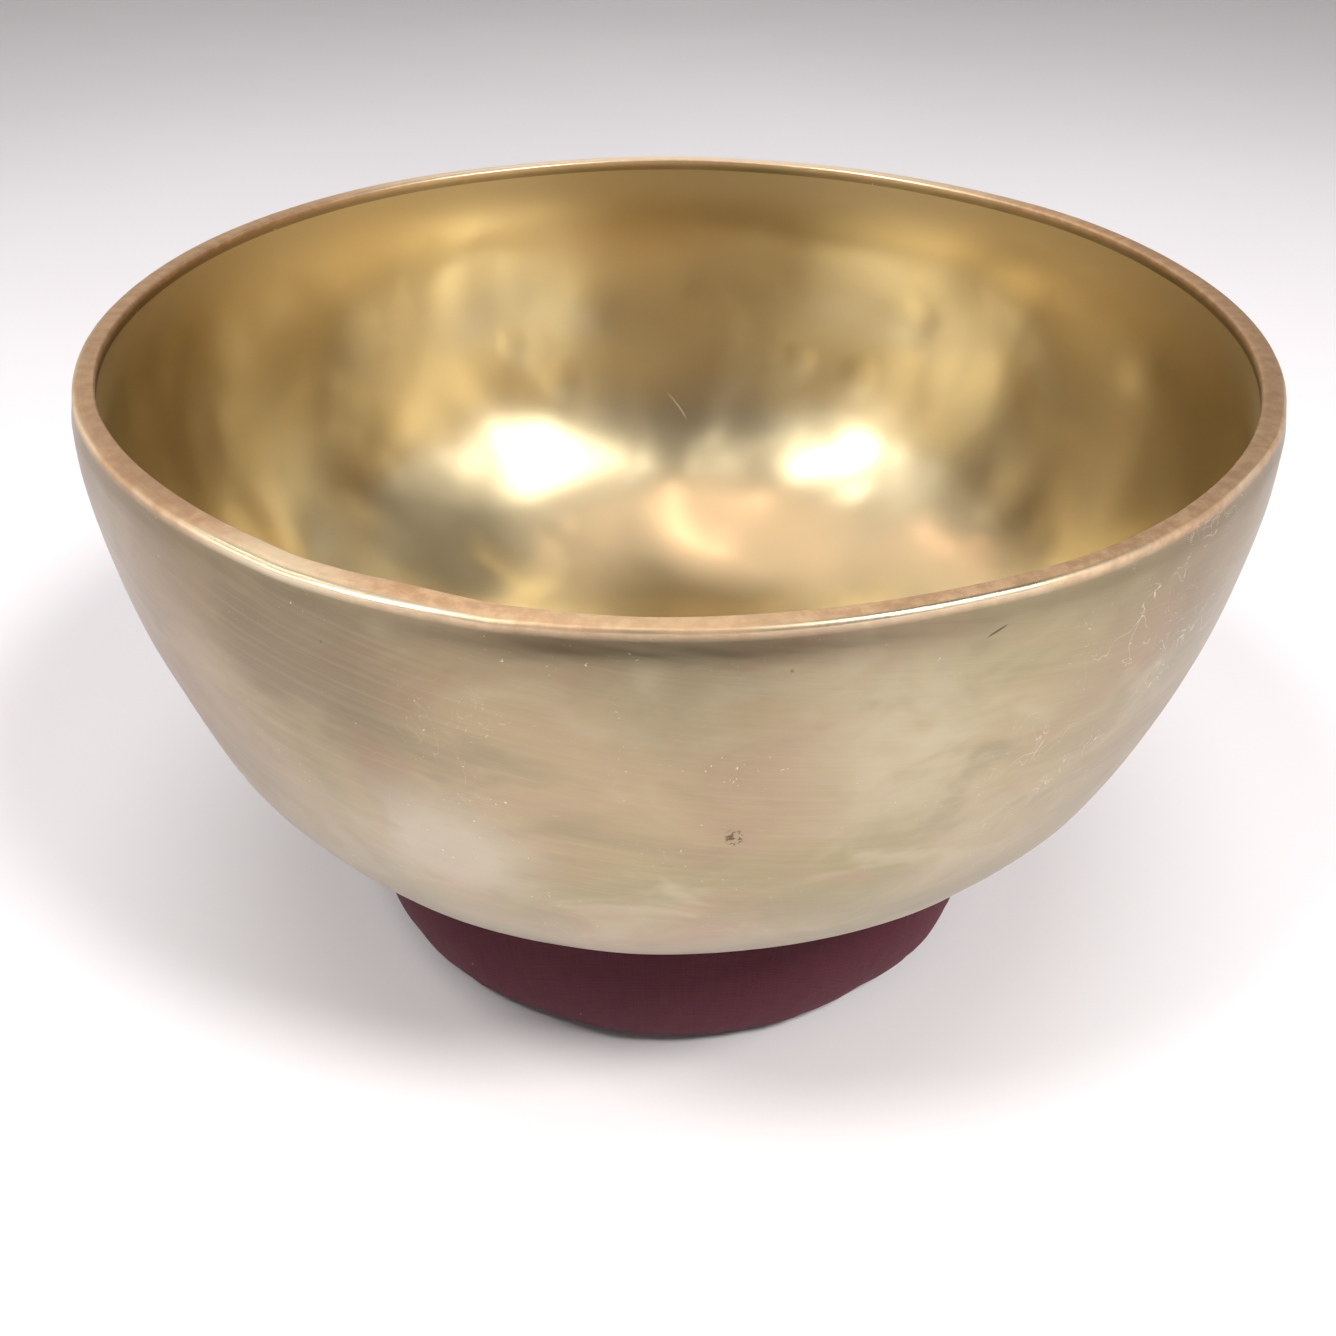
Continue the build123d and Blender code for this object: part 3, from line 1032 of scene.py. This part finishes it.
def grid_normals(grid):
    """Normals of a swept grid, pointing out of the ring's body."""
    around = np.roll(grid, -1, 1) - np.roll(grid, 1, 1)
    normals = np.cross(around, np.gradient(grid, axis=0))
    normals /= np.maximum(np.linalg.norm(normals, axis=-1, keepdims=True), 1e-9)
    third = len(grid) // 3
    out = grid[third, 0] - np.array(RING_CORE)
    return normals if (normals[third, 0] * out).sum() > 0 else -normals


def bowl_under(radius):
    """Height of the bowl's underside at a radius."""
    curve = np.array(sorted(outside))
    return np.interp(radius, np.r_[0, curve[:, 0]], np.r_[base_z, curve[:, 1]])


def keep_clear(grid, below, floor_z):
    """Holds points under the bowl by a gap and above a floor height."""
    radius = np.hypot(grid[..., 0], grid[..., 1])
    grid[..., 2] = np.minimum(grid[..., 2], bowl_under(radius) - below)
    grid[..., 2] = np.maximum(grid[..., 2], floor_z)
    return grid


pucker = (ripple(gap_out, seed=81, radius=OUTER_SEAM, reach=4.5, size=0.09)
          + ripple(gap_in, seed=91, radius=INNER_SEAM, reach=6.5, size=0.34))
# soft drag lines from the hole up over the crown, where the bowl presses the ring
drag = Waves(55, shortest=9, longest=26)(np.stack(np.broadcast_arrays(
    46 * np.cos(angle), 46 * np.sin(angle), 0.22 * cover_grid[..., 1]), -1))
pucker += 0.16 * drag * (smooth(4, 20, gap_in) * smooth(8, 26, gap_out))[:, None]
cover_mid = turned(cover_grid, angle)
cover_mid = cover_mid + grid_normals(cover_mid) * pucker[..., None]
cover_mid = keep_clear(cover_mid, below=0.22 + FABRIC / 2, floor_z=1.2)


# ---------------------------------------------------------------------------
# Cover and base panel
# ---------------------------------------------------------------------------
def shell(middle, thick, name, attributes, below=None):
    """A closed cloth of the given thickness about a mid-surface swept round the axis."""
    normals = grid_normals(middle)
    top, low = middle + normals * thick / 2, middle - normals * thick / 2
    if below is not None:
        top = keep_clear(top, below, floor_z=0.0)
    both = np.concatenate([top, low[::-1]], 0)
    both[..., 2] = np.maximum(both[..., 2], 0.0)
    values = {}
    for key, value in attributes.items():
        value = np.broadcast_to(value, middle.shape[:2])
        values[key] = np.concatenate([value, value[::-1]], 0).ravel()
    made = ring_mesh(name, both, values)
    face_outward(made)
    return made


def weave_attributes(flat_radius, seam_away, press):
    """Where each point lies on the flat cloth, its distance from a seam and the press mark."""
    return {
        "wx": flat_radius[:, None] * np.cos(angle)[None],
        "wy": flat_radius[:, None] * np.sin(angle)[None],
        "seam": np.clip(seam_away, 0, 30)[:, None],
        "press": press,
    }


def flange(seam_row, end_radius, shares):
    """Flat rows from a flange's end (share 0) to the seam (share 1)."""
    share = shares[:, None]
    radius = np.hypot(seam_row[:, 0], seam_row[:, 1])
    section = np.stack([end_radius + (radius - end_radius) * share,
                        seam_row[:, 2] * share + FLANGE_Z * (1 - share)], -1)
    return turned(section, angle)


def make_cover():
    shares = np.linspace(0, 1, FLANGE_ROWS)
    middle = np.concatenate([
        flange(cover_mid[0], OUTER_FLANGE, shares[:-1]), cover_mid,
        flange(cover_mid[-1], INNER_FLANGE, shares[::-1][1:])], 0)
    length = np.r_[-(OUTER_SEAM - OUTER_FLANGE) * shares[::-1][:-1], along,
                   along[-1] + (INNER_FLANGE - INNER_SEAM) * shares[1:]]
    crown = along[int(np.argmax(cover_grid[:, :, 1].mean(1)))]
    gap = bowl_under(np.hypot(middle[..., 0], middle[..., 1])) - middle[..., 2]
    seam_away = np.minimum(np.abs(length), np.abs(length - along[-1]))
    cover = shell(middle, FABRIC, "cushion_cover_sewn",
                  weave_attributes(CROWN_R - (length - crown), seam_away, smooth(1.3, 0.4, gap)),
                  below=0.16)
    fit(cover, "cushion_upper_cover", rides="cushion")
    return cover


# The panel's edges, turned up and in along both seams. Columns: radius, height.
PANEL_OUTER_EDGE = [
    (OUTER_FLANGE, 1.55), (77.0, 1.55), (79.4, 1.54), (80.55, 1.50), (81.15, 1.32),
    (81.38, 0.98), (81.22, 0.66), (80.65, 0.44), (79.5, 0.37),
]
PANEL_INNER_EDGE = [
    (45.7, 0.37), (44.55, 0.44), (43.98, 0.66), (43.82, 0.98), (44.05, 1.32),
    (44.65, 1.50), (45.8, 1.54), (48.0, 1.55), (INNER_FLANGE, 1.55),
]
PANEL_FLAT = [(radius, 0.36) for radius in np.linspace(77.6, 47.6, 24)]
PANEL_SEAM_AT = 7.5             # length along the panel taken as lying at the outer seam


def make_panel():
    section = np.array(PANEL_OUTER_EDGE + PANEL_FLAT + PANEL_INNER_EDGE)
    grid = np.repeat(section[:, None], columns, 1)
    wander_here = np.interp(np.degrees(angle), np.r_[np.degrees(coarse), 360],
                            np.r_[seam_wander, seam_wander[0]])
    grid[..., 0] += smooth(60, 80, section[:, 0])[:, None] * wander_here[None]
    seam_away = np.minimum(np.abs(section[:, 0] - OUTER_SEAM), np.abs(section[:, 0] - INNER_SEAM))
    on_floor = (section[:, 1] < 0.5).astype(float)
    gathered = np.clip(gathers(101, spacing=6.5, radius=80), 0, 2)
    raised = 0.22 * np.exp(-seam_away / 5.0)[:, None] * gathered[None]
    raised += 0.05 * (1 + Waves(57, shortest=14, longest=40)(turned(grid, angle)))
    grid[..., 1] += raised * on_floor[:, None]
    flat_radius = OUTER_SEAM - (distances(section) - PANEL_SEAM_AT)
    panel = shell(turned(grid, angle), PANEL, "cushion_base_cloth",
                  weave_attributes(flat_radius, seam_away, press=0.0))
    fit(panel, "cushion_base_panel", rides="cushion")
    return panel


# ---------------------------------------------------------------------------
# Filling: a soft ring of fibre, lumpy where it was pushed in by hand
# ---------------------------------------------------------------------------
# Underside of the filling. Columns: radius, height.
FILL_UNDER = [
    (44.6, 3.9), (47.0, 3.5), (50.6, 3.3), (52.4, 1.6), (55.0, 1.15), (60.0, 1.1),
    (65.0, 1.1), (70.0, 1.15), (72.4, 1.6), (74.2, 3.3), (77.5, 3.5), (80.6, 3.9),
]
FILL_FROM_SEAM = 9.5


def make_filling():
    first = int(np.argmax(along > FILL_FROM_SEAM))
    last = len(along) - int(np.argmax(along[::-1] < along[-1] - FILL_FROM_SEAM))
    body = cover_mid[first:last:2, ::2]
    lumps = np.clip(0.5 + 0.30 * Waves(61, shortest=10, longest=30)(body)
                    + 0.16 * Waves(62, shortest=4, longest=9)(body), 0, 1.6)
    body = body - grid_normals(body) * (FABRIC / 2 + 0.35 + lumps)[..., None]
    under = turned(FILL_UNDER, angle[::2])
    under[..., 2] += 0.1 * (1 + Waves(63, shortest=5, longest=14)(under))
    filling = ring_mesh("cushion_fibre_ring", np.concatenate([body, under], 0))
    face_outward(filling)
    fit(filling, "cushion_filling", rides="cushion")
    return filling


cover = make_cover()
panel = make_panel()
filling = make_filling()


# ---------------------------------------------------------------------------
# Threads
# ---------------------------------------------------------------------------
def tube(path, radius, closed, sides=8):
    """A round thread along a path, closed on itself or with pointed ends."""
    count = len(path)
    if closed:
        tangent = np.roll(path, -1, 0) - np.roll(path, 1, 0)
    else:
        tangent = np.gradient(path, axis=0)
    tangent /= np.linalg.norm(tangent, axis=1)[:, None]
    steep = abs(tangent[:, 2]).max() >= 0.9
    side = np.cross(tangent, np.array([0.7, 0.1, 0.0] if steep else [0, 0, 1.0]))
    side /= np.maximum(np.linalg.norm(side, axis=1), 1e-9)[:, None]
    other = np.cross(tangent, side)
    radii = np.broadcast_to(np.asarray(radius, float), count)
    turn_angle = np.linspace(0, 2 * np.pi, sides, endpoint=False)
    ring = (np.cos(turn_angle)[None, :, None] * side[:, None]
            + np.sin(turn_angle)[None, :, None] * other[:, None])
    points = (path[:, None] + radii[:, None, None] * ring).reshape(-1, 3)
    faces = grid_quads(count, sides, closed=closed)[:, [0, 3, 2, 1]].tolist()
    if closed:
        return points, faces
    tip = count * sides
    points = np.vstack([points, path[:1] - tangent[:1] * radii[0] * 0.6,
                        path[-1:] + tangent[-1:] * radii[-1] * 0.6])
    faces += fan(tip, np.arange(sides))
    faces += fan(tip + 1, np.arange(tip - sides, tip), backward=True)
    return points, faces


def join_threads(name, piece, parts):
    """One mesh of many threads; "which" gives each its own shade."""
    faces, which, offset = [], [], 0
    for k, (points, part_faces) in enumerate(parts):
        faces += [[corner + offset for corner in face] for face in part_faces]
        offset += len(points)
        which.append(np.full(len(points), (k * 0.618) % 1.0))
    made = make_mesh(name, np.vstack([points for points, _ in parts]), faces,
                     {"which": np.concatenate(which)})
    face_outward(made)
    fit(made, piece, rides="cushion")
    return made


SEAM_PITCH, SEAM_THREAD_R = 2.7, 0.19


def machine_seam(name, piece, seed):
    """A ring of short stitches with small gaps, each dipping at both ends."""
    low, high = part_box(piece)
    radius = (high.x / MM) - 0.2
    middle_z = (low.z + high.z) / 2 / MM
    random = np.random.default_rng(seed)
    number = int(round(2 * np.pi * radius / SEAM_PITCH))
    across_stitch = np.linspace(-1, 1, 9)
    parts = []
    for k in range(number):
        start = 2 * np.pi * k / number + random.normal(0, 0.0012)
        azimuth = np.linspace(start, start + 2 * np.pi / number * 0.93, 9)
        stitch_r = radius + random.normal(0, 0.05) + 0.05 * across_stitch
        z = middle_z - 0.20 * np.abs(across_stitch) ** 3 + 0.02
        path = np.stack([stitch_r * np.cos(azimuth), stitch_r * np.sin(azimuth), z], -1)
        thread_r = SEAM_THREAD_R * (1 - 0.35 * np.abs(across_stitch) ** 4)
        parts.append(tube(path, thread_r, closed=False))
    return join_threads(name, piece, parts)


STITCHES = 12
HALF_ARC = math.radians(17 * (STITCHES - 1) / STITCHES)
LOOP_MIDDLE_R, LOOP_MIDDLE_Z, LOOP_R = 81.55, 1.78, 1.22
PLY_R, PLY_OFFSET = 0.125, 0.105        # each ply, and how far it runs from the thread's middle


def closing_stitches():
    """Hand-sewn loops of two-ply thread over the outer seam at the back."""
    random = np.random.default_rng(9)
    round_loop = np.linspace(0, 2 * np.pi, 60, endpoint=False)
    cosine, sine = np.cos(round_loop)[:, None], np.sin(round_loop)[:, None]
    up = np.array([0, 0, 1.0])
    parts = []
    for k in range(STITCHES):
        azimuth = (math.radians(90) - HALF_ARC + 2 * HALF_ARC * k / (STITCHES - 1)
                   + random.normal(0, 0.0022))
        slant = math.radians(22 + random.normal(0, 5))
        out = np.array([math.cos(azimuth), math.sin(azimuth), 0])
        sideways = np.array([-math.sin(azimuth), math.cos(azimuth), 0])
        shift = np.interp(math.degrees(azimuth), np.degrees(coarse), seam_wander)
        middle = out * (LOOP_MIDDLE_R + shift + random.normal(0, 0.05)) + up * LOOP_MIDDLE_Z
        size = LOOP_R * (1 + random.normal(0, 0.03))
        leaning = up * math.cos(slant) + sideways * math.sin(slant)
        line = middle + size * (cosine * out * 0.92 + sine * leaning)
        beside = np.cross(-sine * out + cosine * up, sideways)
        beside /= np.linalg.norm(beside, axis=1)[:, None]
        for ply in range(2):
            twist = (5 * round_loop + math.pi * ply + k)[:, None]
            wound = np.cos(twist) * beside + np.sin(twist) * sideways
            parts.append(tube(line + PLY_OFFSET * wound, PLY_R, closed=True))
    return join_threads("closing_stitches", "closing_stitch_thread", parts)


threads = [machine_seam("outer_seam_stitches", "outer_seam_thread", seed=5),
           machine_seam("inner_seam_stitches", "inner_seam_thread", seed=6),
           closing_stitches()]


# ---------------------------------------------------------------------------
# Cushion materials
# ---------------------------------------------------------------------------
YARN_PITCH = 0.46


def weave(flat, flat_x, flat_y):
    """Plain weave: the height of the cloth and the shade of the yarn on top."""
    wobble_x = noise(flat, stretch=(0.30, 0.30, 1))
    wobble_y = noise(flat, stretch=(0.30, 0.30, 1), offset=(40, 70, 3))
    across_x = (flat_x + wobble_x * 0.6) / YARN_PITCH
    across_y = (flat_y + wobble_y * 0.6) / (YARN_PITCH * 0.92)
    yarn_x, yarn_y = calc("FLOOR", across_x), calc("FLOOR", across_y)
    round_x = calc("COSINE", (across_x - yarn_x - 0.5) * math.pi)
    round_y = calc("COSINE", (across_y - yarn_y - 0.5) * math.pi)
    odd = calc("FLOORED_MODULO", yarn_x + yarn_y, 2.0)
    side = calc("MULTIPLY_ADD", odd, 2.0, -1.0)          # which yarn passes over here
    warp = round_x * calc("MULTIPLY_ADD", side * round_y, 0.40, 0.60)
    weft = round_y * calc("MULTIPLY_ADD", side * round_x, -0.40, 0.60)
    height = maximum(warp, weft)
    warp_over = calc("GREATER_THAN", warp, weft)
    # each yarn has its own shade and slubs
    warp_shade = noise(combine(yarn_x * 0.73, flat_y * 0.09, 1.0))
    weft_shade = noise(combine(yarn_y * 0.71, flat_x * 0.09, 7.0))
    return height, mix_float(warp_over, weft_shade, warp_shade)


def cotton(colour, dark, pale):
    flat_x, flat_y = attribute("wx"), attribute("wy")
    seam, press = attribute("seam"), attribute("press")
    flat = combine(flat_x, flat_y, 0.0)
    height, yarn = weave(flat, flat_x, flat_y)
    fuzz = noise(flat, stretch=(5.2, 5.2, 1), detail=3.0, rough=0.7)
    cloud = noise(flat, stretch=(0.06, 0.06, 1), detail=3.0, rough=0.5)
    near, _ = cells(flat, stretch=(0.085, 0.085, 1), offset=(0.35, 0.2, 0))
    bent = noise(flat, stretch=(0.9, 0.9, 1), detail=1.0, rough=0.5)
    lint = ramp(near + bent * 0.03, over=(0.040, 0.030))

    def darker(share):
        return tuple(share * channel for channel in dark)

    shade = layered(
        dark,
        (ramp(yarn, over=(0.30, 0.70)), colour),
        (ramp(fuzz, over=(0.45, 0.80)) * 0.30, pale),
        (ramp(cloud, over=(0.35, 0.70), to=(0.0, 0.22)), dark),
        # painted shade in the gaps between the yarns
        (ramp(height, over=(0.15, 0.62), to=(0.45, 0.0)), darker(0.30)),
        # painted shade along the seam creases
        (ramp(seam, over=(3.0, 0.0), to=(0.0, 0.28)), darker(0.55)),
        (press * 0.35, darker(0.7)),
        (lint * 0.55, (0.42, 0.30, 0.31)))       # a few pale flecks of lint
    relief = bump(height, strength=0.75, distance=0.00010)
    relief = bump(fuzz, strength=0.35, distance=0.00008, under=relief)
    uneven_cloth = noise(flat, stretch=(0.35, 0.35, 1), detail=3.0)
    relief = bump(uneven_cloth, strength=0.25, distance=0.0005, under=relief)
    return principled({
        "Base Color": shade, "Roughness": mix_float(press, first=0.88, second=0.72),
        "Specular IOR Level": 0.25, "Sheen Weight": 0.10, "Sheen Roughness": 0.45,
        "Sheen Tint": (0.85, 0.50, 0.56), "Normal": relief})


def cover_cotton():
    return cotton(colour=(0.112, 0.0265, 0.040), dark=(0.088, 0.0190, 0.030),
                  pale=(0.185, 0.068, 0.083))


def panel_cotton():
    return cotton(colour=(0.120, 0.027, 0.041), dark=(0.092, 0.019, 0.030),
                  pale=(0.19, 0.068, 0.082))


def thread_cotton():
    point = coordinate()
    fibre = noise(point, stretch=(9000, 9000, 9000), detail=3.0, rough=0.7)
    twist = noise(point, stretch=(2600, 2600, 5200), rough=0.5, bend=0.6)
    colour = layered(
        (0.150, 0.030, 0.045),
        (attribute("which"), (0.115, 0.022, 0.034)),
        (ramp(twist, over=(0.4, 0.65), to=(0.0, 0.5)), (0.045, 0.010, 0.015)),
        (ramp(fibre, over=(0.5, 0.8), to=(0.0, 0.35)), (0.26, 0.10, 0.12)))
    relief = bump(twist, strength=0.6, distance=0.00005)
    return principled({
        "Base Color": colour, "Roughness": 0.62, "Specular IOR Level": 0.35,
        "Normal": bump(fibre, strength=0.4, distance=0.00003, under=relief)})


def wadding():
    point = coordinate()
    swirl = noise(point, stretch=(240, 240, 240), detail=3.0, bend=2.4)
    hair = noise(point, stretch=(2200, 2200, 500), detail=4.0, rough=0.7, bend=1.2)
    colour = layered(
        (0.66, 0.62, 0.55),
        (ramp(swirl, over=(0.35, 0.7)), (0.78, 0.75, 0.70)),
        (ramp(hair, over=(0.45, 0.75), to=(0.0, 0.4)), (0.52, 0.48, 0.42)))
    relief = bump(swirl, strength=0.7, distance=0.0012)
    return principled({
        "Base Color": colour, "Roughness": 0.95, "Sheen Weight": 0.3,
        "Normal": bump(hair, strength=0.6, distance=0.0002, under=relief)})


cover.data.materials.append(material("maroon_cotton", cover_cotton))
panel.data.materials.append(material("maroon_cotton_base", panel_cotton))
thread_material = material("maroon_thread", thread_cotton)
for thread in threads:
    thread.data.materials.append(thread_material)
filling.data.materials.append(material("fibre_wadding", wadding))


# ---------------------------------------------------------------------------
# Floor and world (metres from here on)
# ---------------------------------------------------------------------------
def staged_quad(name, corners, quad_material):
    mesh = bpy.data.meshes.new(name)
    mesh.from_pydata(corners, [], [(0, 1, 2, 3)])
    made = bpy.data.objects.new(name, mesh)
    scene.collection.objects.link(made)
    mesh.materials.append(quad_material)
    return made


def pale_floor():
    """Pale and matt from above, clear from below."""
    patches = noise(coordinate(), scale=1.6, detail=3.0, rough=0.5)
    colour = mix(ramp(patches, over=(0.3, 0.7)), (0.795, 0.765, 0.775), (0.835, 0.81, 0.815))
    surface = principled({"Base Color": colour, "Roughness": 0.7, "Specular IOR Level": 0.2})
    clear = Value(node("ShaderNodeBsdfTransparent").outputs[0])
    behind = Value(node("ShaderNodeNewGeometry").outputs["Backfacing"])
    return filled(node("ShaderNodeMixShader"), {0: behind, 1: surface, 2: clear})


# Soft panels of light round and above the bowl, seen in the metal:
# elevation, half-width, {azimuth: brightness}, in degrees.
PANELS = [
    (8, 26, {-150: 0.35, -120: 0.75, -90: 1.4, -60: 1.35, -30: 0.45, 0: 0.3, 30: 0.25,
             60: 1.1, 90: 0.95, 120: 0.85, 150: 0.15, 180: 0.05}),
    (32, 25, {-150: 0.3, -120: 0.65, -90: 0.4, -60: 0.5, -30: 0.45, 0: 0.2, 30: 0.2,
              60: 0.6, 120: 0.9, 150: 0.45}),
    (57, 27, {-135: 0.4, -90: 0.35, -45: 0.5, 0: 0.25, 90: 0.2, 135: 0.6, 180: 0.15}),
    (80, 25, {-135: 0.15, -45: 0.6, 45: 0.4, 135: 0.2}),
]
NEUTRAL, WARM = (1.00, 0.965, 0.90), (1.15, 0.80, 0.60)
WARM_PANELS = [(80, -45), (80, -135)]           # elevation, azimuth


def lobe(direction, azimuth, elevation, width):
    """A soft patch of light; azimuth 0 is +Y and 90 is +X."""
    turn_to, rise = math.radians(azimuth), math.radians(elevation)
    middle = (math.sin(turn_to) * math.cos(rise), math.cos(turn_to) * math.cos(rise),
              math.sin(rise))
    facing = measure("DOT_PRODUCT", direction, middle)
    return ramp(facing, over=(math.cos(math.radians(width)), 1.0))


def studio():
    """Bright panels for reflections in the metal, even grey for everything else."""
    direction = coordinate("Generated")
    height = separate(direction)[2]
    sky = mix(0.0, (0, 0, 0), (0, 0, 0))
    for elevation, width, ring in PANELS:
        for azimuth, brightness in ring.items():
            tone = WARM if (elevation, azimuth) in WARM_PANELS else NEUTRAL
            light = tuple(brightness * channel for channel in tone)
            sky = mix(lobe(direction, azimuth, elevation, width), sky, light, "ADD")
    warm_patch = lobe(direction, azimuth=-68, elevation=47, width=17)
    sky = mix(warm_patch, sky, (0.60, 0.36, 0.26), "ADD")
    back_patch = lobe(direction, azimuth=0, elevation=28, width=17)
    sky = mix(back_patch, sky, (1.30, 1.22, 1.10), "ADD")
    path = node("ShaderNodeLightPath").outputs
    room = mix(ramp(height, over=(-0.05, 0.7)), (0.22, 0.216, 0.22), (0.21, 0.206, 0.21))
    no_diffuse = calc("LESS_THAN", Value(path["Diffuse Depth"]), 0.5)
    seen = mix(Value(path["Is Glossy Ray"]) * no_diffuse, room, sky)
    seen = mix(Value(path["Is Camera Ray"]), seen, (0.78, 0.76, 0.76))
    return filled(node("ShaderNodeBackground"), {"Color": seen, "Strength": 1.0})


staged_quad("floor", [(-6, -6, 0), (6, -6, 0), (6, 6, 0), (-6, 6, 0)],
            material("pale_floor", pale_floor))
scene.world = lay_nodes(bpy.data.worlds.new("studio"), studio, "World")


# ---------------------------------------------------------------------------
# Lights, card and camera
# ---------------------------------------------------------------------------
def area(name, at, target, size, energy, color, size_y=None, gloss=True):
    """An area light: gloss makes reflections in metal, otherwise it shades cloth and floor."""
    data = bpy.data.lights.new(name, "AREA")
    data.shape = "DISK" if size_y is None else "RECTANGLE"
    data.size = size
    if size_y:
        data.size_y = size_y
    data.energy = energy
    data.color = color
    light = bpy.data.objects.new(name, data)
    light.location = at
    light.rotation_mode = "QUATERNION"
    light.rotation_quaternion = (Vector(at) - Vector(target)).to_track_quat("Z", "Y")
    scene.collection.objects.link(light)
    light.visible_glossy = gloss
    light.visible_diffuse = not gloss
    light.visible_camera = False


CREAM = (1.0, 0.98, 0.93)
WHITE = (1.0, 0.985, 0.985)
area("gleam_right", at=(0.61, -0.49, 0.92), target=(0, 0, 0.08), size=0.32, size_y=0.82,
     energy=4.6, color=CREAM)
area("gleam_left", at=(-0.73, -0.45, 0.85), target=(0, 0, 0.08), size=0.28, size_y=0.96,
     energy=5.6, color=CREAM)
area("gleam_top", at=(-0.05, 0.08, 1.3), target=(0, 0, 0.1), size=0.15, energy=0.42,
     color=(1.0, 0.76, 0.60))
area("gleam_low", at=(-0.74, 0.27, 0.95), target=(0, 0, 0.1), size=0.10, energy=0.14,
     color=(1.0, 0.66, 0.50))
area("shade_right", at=(0.69, -0.55, 1.24), target=(0, 0, 0.05), size=0.34, energy=16.5,
     color=WHITE, gloss=False)
area("shade_left", at=(-0.62, -0.38, 1.30), target=(0, 0, 0.05), size=0.34, energy=9.5,
     color=WHITE, gloss=False)
area("shade_top", at=(0.0, -0.1, 1.9), target=(0, 0, 0.0), size=1.0, energy=14.5,
     color=(1.0, 0.985, 0.99), gloss=False)


def card_grey():
    return filled(node("ShaderNodeEmission"), {"Color": (0.20, 0.165, 0.15)})


# A dark card in front of the bowl, seen only in its reflections.
card = staged_quad(
    "card", [(-0.42, -0.80, 0.0), (0.42, -0.80, 0.0), (0.34, -0.80, 1.15), (-0.34, -0.80, 1.15)],
    material("card_grey", card_grey))
card.visible_camera = False
card.visible_diffuse = False
card.visible_shadow = False
card.visible_transmission = False

CAMERA_AT = (0.0, -0.27818, 0.262624)
CAMERA_FORWARD = Vector((-0.00493835, 0.80052793, -0.5992751))
CAMERA_RIGHT = Vector((0.99994582, 0.00944498, 0.00437678))
CAMERA_UP = Vector((-0.00916388, 0.59922101, 0.8005312))
camera_data = bpy.data.cameras.new("camera")
camera = bpy.data.objects.new("camera", camera_data)
scene.collection.objects.link(camera)
facing = Matrix((CAMERA_RIGHT, CAMERA_UP, -CAMERA_FORWARD)).transposed()
camera.matrix_world = Matrix.Translation(CAMERA_AT) @ facing.to_4x4()
camera_data.sensor_width = 36.0
camera_data.lens = 33.4131737
camera_data.clip_start = 0.01
scene.camera = camera
scene.view_settings.view_transform = "Standard"
scene.view_settings.exposure = 0.0
